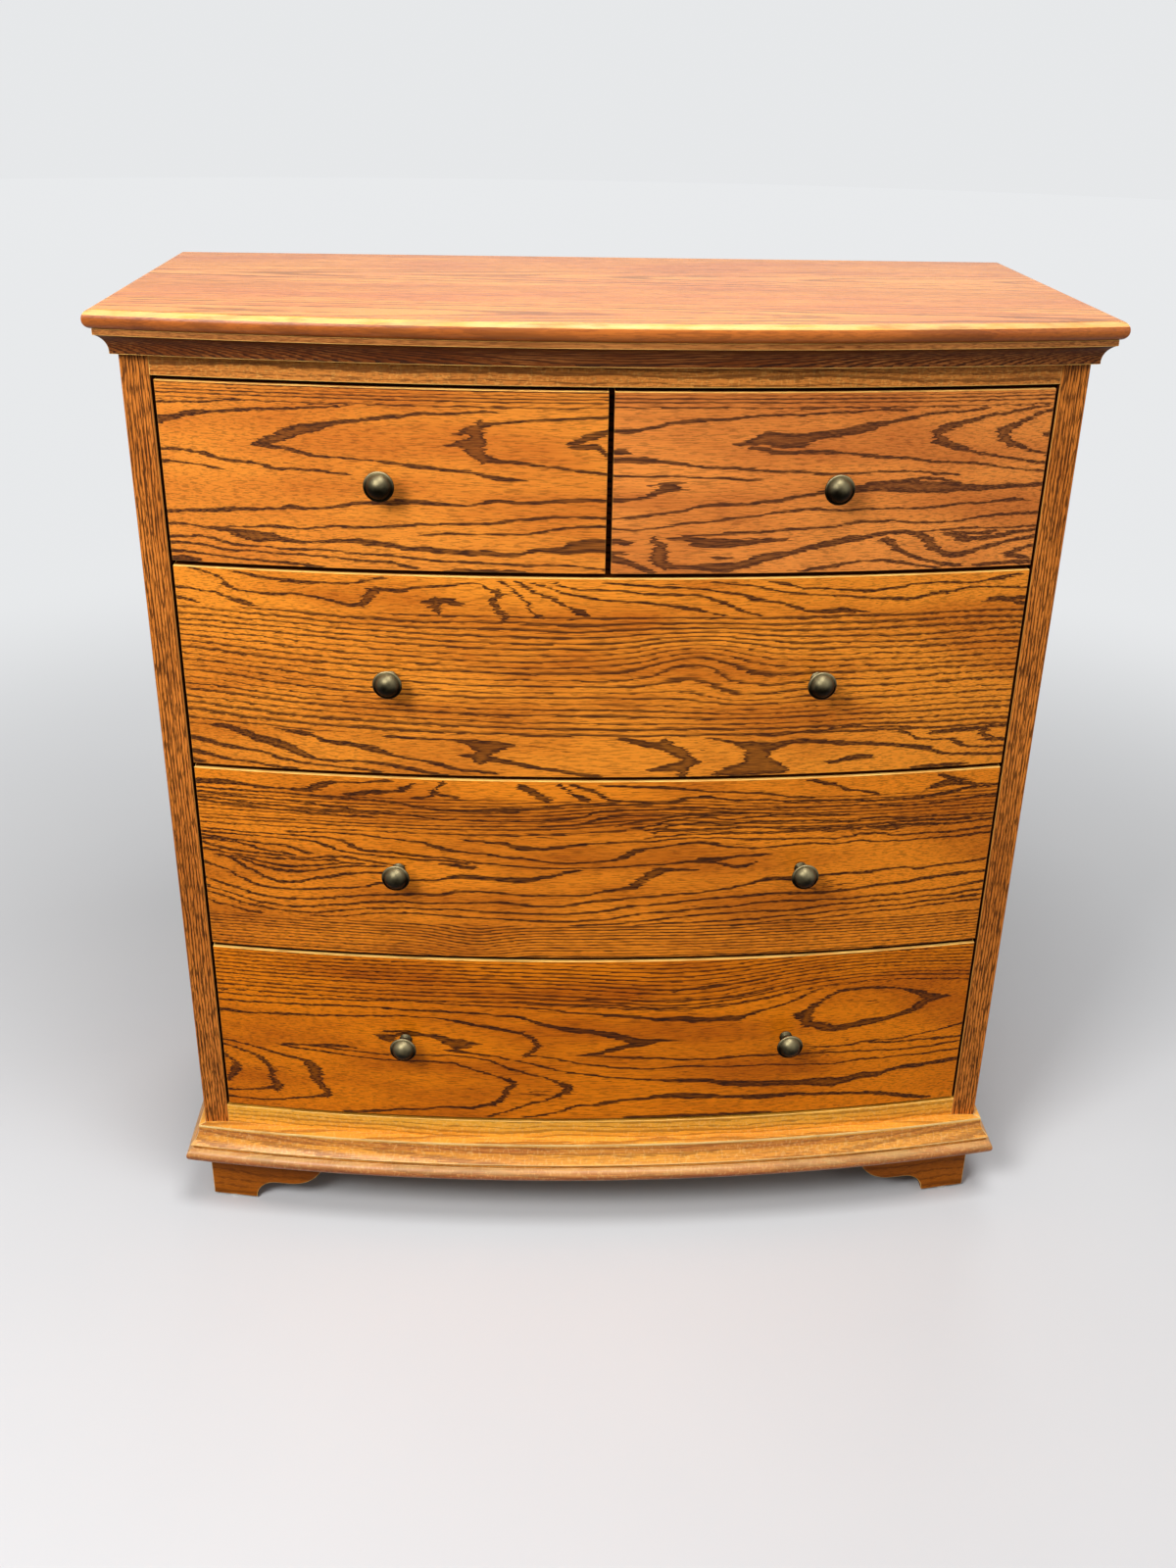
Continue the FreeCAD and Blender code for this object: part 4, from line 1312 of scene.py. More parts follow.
@dataclass
class Inside:
    """The pieces inside and behind, which keep their solids and get a finish."""

    figure: Figure = Figure((Leaf(rings=0.12, lean=0.002, waver=1.2),))

    def dress(self, node: str, material: Material) -> None:
        """Gives a solid its finish."""
        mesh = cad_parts[node].data
        mesh.materials.clear()
        mesh.materials.append(material)
        LOG.info("%s keeps its solid", node)

    def build(self) -> None:
        """Dresses every solid that still shows."""
        wide = OAK_INSIDE.material("inside_wide_oak", Grain.ACROSS_FRONT, self.figure, ORIGIN)
        deep = OAK_INSIDE.material("inside_deep_oak", Grain.FRONT_TO_BACK, self.figure, ORIGIN)
        sheet = OAK_INSIDE.material("inside_sheet_oak", Grain.ACROSS_TOP, self.figure, ORIGIN)
        shade = OAK_PAINTED_SHADE.material("inside_painted_shade_oak", Grain.ACROSS_FRONT, self.figure, ORIGIN)
        steel = PlainFinish(tint(168, 168, 164), tint(128, 128, 126), 1.0, 0.3).material("screw_plating")
        plastic = PlainFinish(tint(226, 224, 216), tint(206, 202, 192)).material("glide_plastic")
        for node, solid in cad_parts.items():
            if solid.hide_render:
                continue
            if node.endswith("knob_screws"):
                self.dress(node, steel)
            elif node == "foot_glides":
                self.dress(node, plastic)
            elif node.endswith("_bottom") or node == "base_board":
                self.dress(node, sheet)
            # Painted shade: the drawer rails and the partition, seen in the gaps, take the dark oak.
            elif node.startswith("drawer_rail") or node == "centre_partition":
                self.dress(node, shade)
            elif "_side_" in node or node == "drawer_runners":
                self.dress(node, deep)
            else:
                self.dress(node, wide)


@dataclass
class Studio:
    """The pale floor, soft lights and camera."""

    floor_radius: float = 16.0
    fade_start: float = 0.7
    fade_end: float = 2.6
    sky: float = 0.82
    ambient: float = 0.18
    sky_tint: Colour = (0.97, 0.985, 1.0, 1.0)
    focal_pixels: float = 1558.5
    long_side_pixels: float = 1600.0
    sensor: float = 36.0
    camera_place: Vector = field(default_factory=lambda: Vector((-0.08156, -1.69424, 1.31018)))
    camera_pitch: float = -25.79
    camera_yaw: float = 2.528
    camera_roll: float = 1.066
    lamp_target: Vector = field(default_factory=lambda: Vector((0, 0, 0.6)))

    def camera(self) -> None:
        """Sets the camera where the photograph was taken from."""
        data = bpy.data.cameras.new("portrait_camera")
        data.sensor_width = self.sensor
        data.lens = self.focal_pixels / self.long_side_pixels * self.sensor
        data.clip_end = 100.0
        pitch, yaw = math.radians(self.camera_pitch), math.radians(self.camera_yaw)
        ahead = Vector((math.sin(yaw) * math.cos(pitch), math.cos(yaw) * math.cos(pitch), math.sin(pitch)))
        level = Vector((math.cos(yaw), -math.sin(yaw), 0))
        tilt = Matrix.Rotation(-math.radians(self.camera_roll), 3, ahead)
        right = tilt @ level
        up = right.cross(ahead)
        turn = Matrix((right, up, -ahead)).transposed()
        camera = bpy.data.objects.new("portrait_camera", data)
        camera.matrix_world = Matrix.Translation(self.camera_place) @ turn.to_4x4()
        bpy.context.scene.collection.objects.link(camera)
        bpy.context.scene.camera = camera

    def seen(self, tree: bpy.types.NodeTree) -> Socket:
        """Returns 1 for rays that show the studio to the eye, straight or by reflection."""
        path = tree.nodes.new("ShaderNodeLightPath")
        total = path.outputs["Is Camera Ray"]
        for name in ("Is Glossy Ray", "Is Transmission Ray"):
            both = tree.nodes.new("ShaderNodeMath")
            both.operation = "MAXIMUM"
            tree.links.new(total, both.inputs[0])
            tree.links.new(path.outputs[name], both.inputs[1])
            total = both.outputs[0]
        return total

    def floor(self) -> None:
        """Lays the pale floor, which fades into the sky far away."""
        bm = bmesh.new()
        bmesh.ops.create_circle(bm, cap_ends=True, segments=96, radius=self.floor_radius)
        mesh = bpy.data.meshes.new("studio_floor")
        bm.to_mesh(mesh)
        bm.free()
        graph = Graph("pale_floor")
        spot = graph.add("ShaderNodeTexCoord").outputs["Object"]
        away = graph.add("ShaderNodeVectorMath", operation="LENGTH")
        graph.feed(away.inputs[0], spot)
        far = graph.smooth(away.outputs["Value"], self.fade_start, self.fade_end)
        seen = self.seen(graph.tree)
        pale = graph.mix(graph.noise(spot, (0.5, 0.5, 0.5), 3.0), tint(214, 215, 217), tint(220, 220, 221))
        near = graph.mix(seen, tint(120, 120, 120), pale)
        level = graph.math("MULTIPLY_ADD", seen, self.sky - self.ambient, self.ambient)
        colour = graph.mix(far, near, tint(0, 0, 0))
        shine = graph.math("MULTIPLY", far, level)
        mesh.materials.append(graph.set(colour=colour, roughness=0.9, specular=0.05, glow=self.sky_tint,
                                        glow_strength=shine))
        floor = bpy.data.objects.new("studio_floor", mesh)
        bpy.context.scene.collection.objects.link(floor)

    def world(self) -> None:
        """Hangs a pale sky round the studio, which lights the chest softly."""
        world = bpy.data.worlds.new("studio_world")
        world.use_nodes = True
        tree = world.node_tree
        sky = tree.nodes["Background"]
        sky.inputs["Color"].default_value = self.sky_tint
        level = tree.nodes.new("ShaderNodeMath")
        level.operation = "MULTIPLY_ADD"
        tree.links.new(self.seen(tree), level.inputs[0])
        level.inputs[1].default_value = self.sky - self.ambient
        level.inputs[2].default_value = self.ambient
        tree.links.new(level.outputs[0], sky.inputs["Strength"])
        bpy.context.scene.world = world

    def lamp(self, name: str, place: Vector, size: float, power: float) -> None:
        """Hangs one soft square lamp that points at the middle of the chest."""
        data = bpy.data.lights.new(name, "AREA")
        data.size = size
        data.energy = power
        lamp = bpy.data.objects.new(name, data)
        lamp.location = place
        lamp.rotation_euler = (self.lamp_target - place).to_track_quat("-Z", "Y").to_euler()
        bpy.context.scene.collection.objects.link(lamp)

    def build(self) -> None:
        """Sets up the floor, the lights and the camera."""
        bpy.context.scene.view_settings.view_transform = "Standard"
        self.world()
        self.lamp("key_lamp", Vector((-1.15, -1.75, 2.15)), 0.9, 52)
        self.lamp("sky_lamp", Vector((0.2, -0.8, 2.9)), 1.0, 36)
        self.lamp("fill_lamp", Vector((2.2, -2.4, 1.9)), 2.0, 15)
        self.lamp("back_lamp", Vector((0.4, 2.4, 3.2)), 2.0, 30)
        self.floor()
        self.camera()


TOP_LEFT_VEINS = veins(
    ((-224, 142, 9), (-214, 145, 8), (-205, 147, 6), (-195, 150, 6), (-185, 152.5, 5), (-170, 154, 3.4),
     (-150, 155.5, 3), (-120, 158, 2.4), (-80, 160, 2.6), (-60, 161.5, 2.2), (-42, 163, 1.6)),
    ((-224, 115, 3.4), (-205, 115, 3), (-190, 113.5, 2.8), (-175, 111, 4), (-165, 108.5, 3),
     (-145, 106.5, 3), (-128, 106, 2.6), (-115, 103.5, 4), (-105, 101.5, 3.4), (-90, 101, 2.6),
     (-70, 99, 2.6), (-50, 97, 1.8), (-35, 96.5, 1.4)),
    ((-224, 103.5, 2.6), (-205, 102.5, 2), (-185, 101, 2), (-170, 99, 1.8), (-160, 98, 1.3)),
    ((-127, 124, 2), (-118, 126, 7), (-108, 129, 10), (-95, 134, 12), (-82, 138, 12), (-70, 141, 10),
     (-60, 143.5, 8), (-50, 146.5, 6), (-40, 148.5, 4.5), (-25, 150, 3.6), (-10, 152, 3.6), (5, 153.5, 3.4),
     (25, 155.5, 3.4), (40, 157.5, 3), (60, 159, 2.4), (85, 160.5, 2.2), (110, 161, 1.6)),
    ((-125, 123, 3), (-112, 122, 5), (-98, 120.5, 3.6), (-85, 118, 4), (-70, 116, 3.4), (-55, 113.5, 2.6),
     (-30, 112, 2.4), (-5, 110.5, 2.2), (10, 109, 2.2), (28, 107, 4), (45, 105.5, 4), (60, 103.5, 3.4),
     (80, 102, 3.2), (95, 99.5, 2.8), (108, 97, 3.6), (122, 96, 3.4), (137, 95.5, 1.6)),
    ((75, 140, 4), (85, 143.5, 7), (95, 145.5, 7), (105, 147.5, 5), (118, 150, 3.6), (135, 152, 2.8),
     (160, 154, 2.4), (190, 156, 2.4), (224, 158, 2.2)),
    ((92, 117, 5), (100, 115.5, 8), (110, 113.5, 6), (122, 112, 3.6), (140, 111, 2.8), (160, 109, 2.6),
     (180, 107, 2.6), (195, 104, 2.6), (210, 103, 2.6), (224, 101, 2.4)),
    ((63, 127, 2), (72, 129, 5), (82, 130, 9)),
    ((183, 131, 3), (192, 134, 6), (200, 136.5, 8), (210, 139, 7), (224, 144, 6)),
    ((185, 127.5, 3), (198, 128, 6), (208, 128.5, 6), (214, 126, 7), (219, 121, 7), (224, 116, 6)),
    ((-224, 51, 3.4), (-208, 52, 3.4), (-195, 53.5, 4), (-180, 55, 4), (-160, 56, 4.5), (-140, 57.5, 3.6),
     (-110, 58, 3), (-100, 60, 4.5), (-92, 61.5, 5), (-82, 60.5, 3.6), (-65, 61, 2.6), (-50, 63, 4),
     (-40, 65, 4), (-25, 67.5, 4), (-10, 68.5, 4), (5, 70, 5), (20, 71.5, 6), (35, 71.5, 6), (50, 70.5, 4.5),
     (65, 69.5, 3), (80, 68.5, 2.4), (95, 70, 3), (115, 72, 4), (135, 72, 3.4), (150, 72.5, 4),
     (165, 74.5, 4), (185, 75.5, 4.5), (205, 76, 4), (224, 75.5, 3)),
    ((-160, 38.5, 1.6), (-140, 39, 2), (-120, 41, 2.8), (-105, 42, 3), (-90, 41, 2.2), (-70, 42, 2.2),
     (-50, 43.5, 2.8), (0, 44.5, 2.4), (20, 46, 3), (40, 47.5, 3), (60, 48, 2.4), (80, 49, 2.6),
     (100, 50.5, 3), (115, 52, 3), (130, 54, 3.2), (145, 55.5, 3.2), (165, 57, 3), (185, 57.5, 2.6),
     (224, 58.5, 2.2)),
    ((38, 37.5, 1.6), (60, 38.5, 3), (80, 38.5, 2.2), (110, 39, 2.2), (130, 39.5, 2.4), (145, 41.5, 2.4),
     (160, 43.5, 2.8), (175, 46.5, 2.8), (190, 48, 2.6), (224, 49, 2.4)),
    ((-224, 38, 2.4), (-205, 38.5, 2.4), (-185, 37.5, 2.4), (-172, 36.5, 5), (-160, 35, 6), (-148, 31.5, 9),
     (-135, 30.5, 11), (-120, 31, 10), (-108, 29.5, 8), (-95, 27.5, 5), (-82, 26, 3.4), (-70, 27, 3.4),
     (-58, 28.5, 4), (-45, 30, 4.5), (-32, 30, 6), (-20, 28.5, 7), (-5, 27.5, 6), (10, 26, 6), (20, 23.5, 6),
     (35, 22.5, 5), (55, 21.5, 5), (75, 20.5, 4.5), (85, 20, 7), (95, 20.5, 6), (108, 20.5, 6),
     (120, 19, 4.5), (135, 20, 4), (150, 23.5, 5), (165, 24, 6), (180, 26, 10), (195, 28, 13),
     (210, 28.5, 14), (224, 28, 14)),
    ((-224, 28, 3), (-205, 26, 3), (-190, 27, 2.4), (-175, 26, 2.4), (-165, 23.5, 2.8), (-150, 20.5, 2.4),
     (-130, 20.5, 2), (-110, 18.5, 3), (-98, 17.5, 4), (-85, 17, 2.8), (-60, 18, 2.4), (-20, 15.5, 2.4),
     (0, 14.5, 3), (20, 13.5, 2.6), (40, 12, 3), (60, 10.5, 2.6), (110, 10.5, 2.6), (140, 9, 2.4),
     (170, 9.5, 2.4), (200, 7, 2.4), (224, 4.5, 2.4)),
    ((-224, 20, 2.6), (-200, 19.5, 2.6), (-180, 19, 2.4), (-160, 15.5, 2.4), (-135, 15, 2), (-110, 12, 2.4),
     (-60, 11.5, 2.2), (-35, 10, 2.4), (-15, 7.5, 3), (5, 7, 3), (15, 4.5, 3), (30, 2, 3)),
    ((-224, 10.5, 2.4), (-190, 9.5, 2.6), (-165, 8, 2.4), (-145, 5, 2.4), (-115, 4, 2.4), (-90, 2.5, 2.6),
     (-65, 1.5, 2)),
    ((-224, 3, 2.6), (-190, 2, 2.4)),
    ((65, 1.5, 3), (100, 2, 3), (140, 1.5, 2.6)),
    ((-224, 160.5, 2), (-200, 161.5, 2), (-180, 163, 2.2), (-160, 164.5, 1.8), (-135, 165, 1.6)),
)
TOP_LEFT_UPRIGHTS = veins(
    ((115, 100, 14), (119, 93, 18), (123, 90, 22), (127, 88, 28), (131, 90, 30), (135, 92, 16),
     (139, 91, 18), (143, 90, 18), (147, 97, 14)),
    upright=True,
)
TOP_LEFT_FIGURE = Figure(
    (Leaf(rings=0.0, lean=0.0, start=0.45, waver=0.2, shoulders=(Shoulder(166, 1, 0.3, 6),)),),
    TOP_LEFT_VEINS + TOP_LEFT_UPRIGHTS,
)
TOP_RIGHT_VEINS = veins(
    ((-224, 145, 4.5), (-205, 144.5, 4.5), (-190, 146.5, 4), (-175, 148.5, 3.4), (-160, 151.5, 3.6),
     (-145, 153, 4), (-130, 154.5, 3), (-90, 157.5, 3), (-65, 159.5, 2.6), (-40, 160.5, 2.2),
     (0, 161.5, 2.4), (30, 163, 2), (70, 164.5, 1.8)),
    ((-224, 123.5, 4), (-214, 124.5, 5), (-206, 124, 3)),
    ((-224, 116.5, 5), (-205, 116.5, 6), (-190, 116.5, 6), (-178, 115, 3), (-165, 113.5, 2.8),
     (-130, 110, 2.6), (-90, 107.5, 2.6), (-70, 106, 2.6), (-55, 104, 2.6), (0, 102.5, 2.4), (50, 103, 2.4),
     (80, 102, 2.2), (110, 100, 2.4), (130, 98.5, 1.6)),
    ((-224, 102, 2), (-190, 101, 2), (-150, 100.5, 2), (-120, 99, 2.4), (-100, 98, 2.4), (-75, 96.5, 1.6)),
    ((-224, 76, 4.5), (-205, 76.5, 4), (-195, 77.5, 3), (-183, 81, 5), (-175, 85, 8), (-168, 88, 10),
     (-160, 88.5, 8), (-152, 87, 3), (-146, 86.5, 1.5)),
    ((-182, 90, 2), (-172, 93, 3), (-160, 94.5, 3.6), (-148, 94, 1.8)),
    ((-224, 57.5, 2.4), (-205, 59, 2.4), (-185, 61, 3.2), (-165, 62.5, 2.6), (-150, 65, 3), (-135, 69, 3.4),
     (-122, 71.5, 3.6), (-85, 72, 3), (-72, 75, 4), (-55, 76.5, 4), (-40, 78.5, 3), (-20, 81.5, 4),
     (0, 84, 5), (20, 85.5, 6), (40, 88, 9), (55, 88.5, 11), (70, 87.5, 12), (85, 87, 13), (100, 86, 13),
     (115, 85.5, 12), (130, 85.5, 9), (150, 85, 6), (190, 84.5, 5), (224, 85.5, 4)),
    ((38, 92, 2.4), (60, 91.5, 3), (80, 93.5, 3.4), (98, 95.5, 3), (112, 94.5, 3.6), (124, 91.5, 3.4),
     (134, 88.5, 3)),
    ((-224, 48.5, 2.4), (-205, 46.5, 2.2), (-185, 47, 2.2), (-165, 49.5, 2.6), (-150, 52, 2.6),
     (-125, 54, 2.4), (-110, 56, 2.6), (-75, 59.5, 2.4), (-55, 63, 3), (-35, 64.5, 3.2), (-15, 65.5, 3),
     (10, 65, 2.6), (55, 65, 2.4), (100, 65.5, 2.6), (115, 67, 3), (140, 69, 2.6), (160, 69.5, 2.4),
     (175, 70.5, 3), (190, 71, 4.5), (205, 69.5, 1.6)),
    ((-150, 38.5, 1.6), (-120, 40, 2), (-100, 42, 3.4), (-75, 43.5, 2.8), (-20, 46.5, 2.8), (0, 46.5, 2.4),
     (15, 49, 2.6), (35, 51.5, 2.8), (60, 52, 2.2), (95, 50.5, 2.4), (130, 51, 2.2), (160, 53, 2.2),
     (185, 55, 3), (205, 56, 3.4), (224, 56.5, 3.4)),
    ((-172, 12, 8), (-160, 8.5, 6), (-148, 7.5, 4.5), (-135, 6.5, 6), (-120, 6, 9), (-105, 5.5, 10),
     (-90, 7.5, 8), (-78, 11.5, 10), (-65, 15.5, 10), (-50, 19, 9), (-38, 21.5, 6), (-25, 25, 6),
     (-10, 29, 7), (5, 32, 7.5), (20, 34.5, 7), (35, 36, 6), (50, 38.5, 4.5), (65, 40, 4), (80, 40.5, 4),
     (100, 40, 2.4), (125, 42, 2.4), (140, 42.5, 2.6), (165, 41, 2.2), (190, 41.5, 2.4), (224, 42.5, 2)),
    ((-160, 36, 2), (-148, 35.5, 4), (-135, 34.5, 7), (-120, 33, 8), (-105, 31.5, 9), (-90, 32, 7),
     (-75, 34, 6), (-60, 35.5, 4), (-42, 36.5, 2)),
    ((-140, 31, 3), (-125, 29.5, 2), (-112, 28.5, 1.6)),
    ((-224, 34, 6), (-214, 34.5, 7), (-207, 32, 6), (-200, 32.5, 2)),
    ((-224, 22, 4), (-212, 22, 3), (-205, 21, 1.6)),
    ((-224, 18, 8), (-212, 14, 8), (-200, 10.5, 7), (-188, 5.5, 6), (-178, 2, 5)),
    ((-118, 15.5, 2), (-105, 15.5, 2.6), (-98, 15.5, 1.4)),
    ((-24, 2, 2.4), (-8, 4, 3.4), (10, 5.5, 3), (25, 9, 2.6), (45, 11, 3), (60, 11, 4), (75, 9, 4),
     (90, 5.5, 3.4), (105, 3, 3), (120, 1.5, 2.4)),
    ((54, 33, 2), (60, 32.5, 8), (66, 29, 11), (74, 23.5, 7), (84, 17.5, 5), (97, 12.5, 4.4), (110, 9, 4.4),
     (124, 5.5, 5), (140, 3, 4)),
    ((86, 38, 3), (94, 36, 6), (101, 32, 10), (108, 27, 13), (116, 20.5, 8), (126, 15.5, 6), (138, 14, 6),
     (150, 15.5, 6), (162, 19.5, 5), (178, 25, 4.5), (195, 28.5, 4), (210, 30.5, 4), (224, 32, 4)),
    ((120, 38, 2), (128, 36, 5), (136, 32.5, 8), (145, 29.5, 8), (156, 30, 6), (170, 31.5, 5),
     (190, 35.5, 4.5), (208, 37, 3.4), (224, 38.5, 3)),
    ((130, 40, 2), (142, 37, 4.5), (158, 36, 3), (180, 38.5, 2)),
    ((188, 14, 2), (195, 15.5, 5), (203, 17.5, 6), (212, 20, 4), (224, 22.5, 3)),
    ((192, 12, 3), (202, 10, 6), (212, 8.5, 5), (218, 7.5, 2)),
    ((160, 2, 3), (190, 3, 4), (224, 3, 3)),
    ((-102, 131, 2), (-92, 132, 5), (-82, 134, 9), (-72, 137, 13), (-60, 136.5, 16), (-48, 136, 15),
     (-35, 136.5, 14), (-22, 139.5, 10), (-8, 141.5, 8), (8, 142.5, 8), (20, 145, 10), (32, 147.5, 9),
     (42, 149.5, 6), (55, 152.5, 4), (75, 156, 4), (90, 159, 3.4), (105, 160.5, 3), (125, 162, 2.4),
     (150, 164, 2)),
    ((-85, 127.5, 2.4), (-72, 126.5, 5), (-58, 124, 5), (-30, 124, 4.5), (-2, 123, 4), (12, 121.5, 2.4),
     (30, 119.5, 3.2), (45, 117.5, 3), (80, 115.5, 3), (100, 112.5, 2.6), (120, 111.5, 2.4),
     (145, 109.5, 2.4), (165, 107, 3), (185, 103.5, 2.6), (205, 101, 2.2), (224, 99.5, 2)),
    ((98, 141, 3), (106, 144, 8), (116, 147, 8), (128, 151, 6), (140, 154.5, 4.5), (155, 157.5, 3),
     (172, 159.5, 3), (190, 162, 2.6), (210, 164, 2)),
    ((104, 132, 5), (115, 129.5, 6), (126, 126.5, 6), (136, 123.5, 5), (145, 119.5, 3), (160, 116.5, 2.6),
     (175, 114.5, 2.4), (195, 111.5, 2.4), (210, 109, 2.4), (224, 107.5, 2.2)),
    ((163, 142.5, 3), (172, 144.5, 6), (182, 147.5, 7), (192, 151.5, 6), (203, 156, 4), (215, 159.5, 3),
     (224, 161.5, 2.6)),
    ((170, 132, 5), (182, 128.5, 6), (192, 124.5, 5), (203, 120, 3.4), (215, 117, 2.8), (224, 115, 2.6)),
    ((214, 136, 3), (219, 137, 5), (224, 138, 6)),
)
TOP_RIGHT_UPRIGHTS = veins(
    ((18, -164, 7), (22, -167, 10), (27, -170, 11), (32, -174, 11), (36, -178, 7)),
    ((9, -165, 12), (13, -172, 14), (18, -172, 18), (24, -172, 14)),
    ((131, 118, 12), (134, 108, 16), (138, 104, 12), (142, 108, 14), (146, 114, 12)),
    ((129, 180, 12), (133, 174, 14), (137, 172, 12), (141, 172, 14), (145, 178, 12)),
    upright=True,
)
TOP_RIGHT_FIGURE = Figure(
    (Leaf(rings=0.0, lean=0.0, start=0.45, waver=0.2, shoulders=(Shoulder(167, 1, 0.28, 6),)),),
    TOP_RIGHT_VEINS + TOP_RIGHT_UPRIGHTS,
)
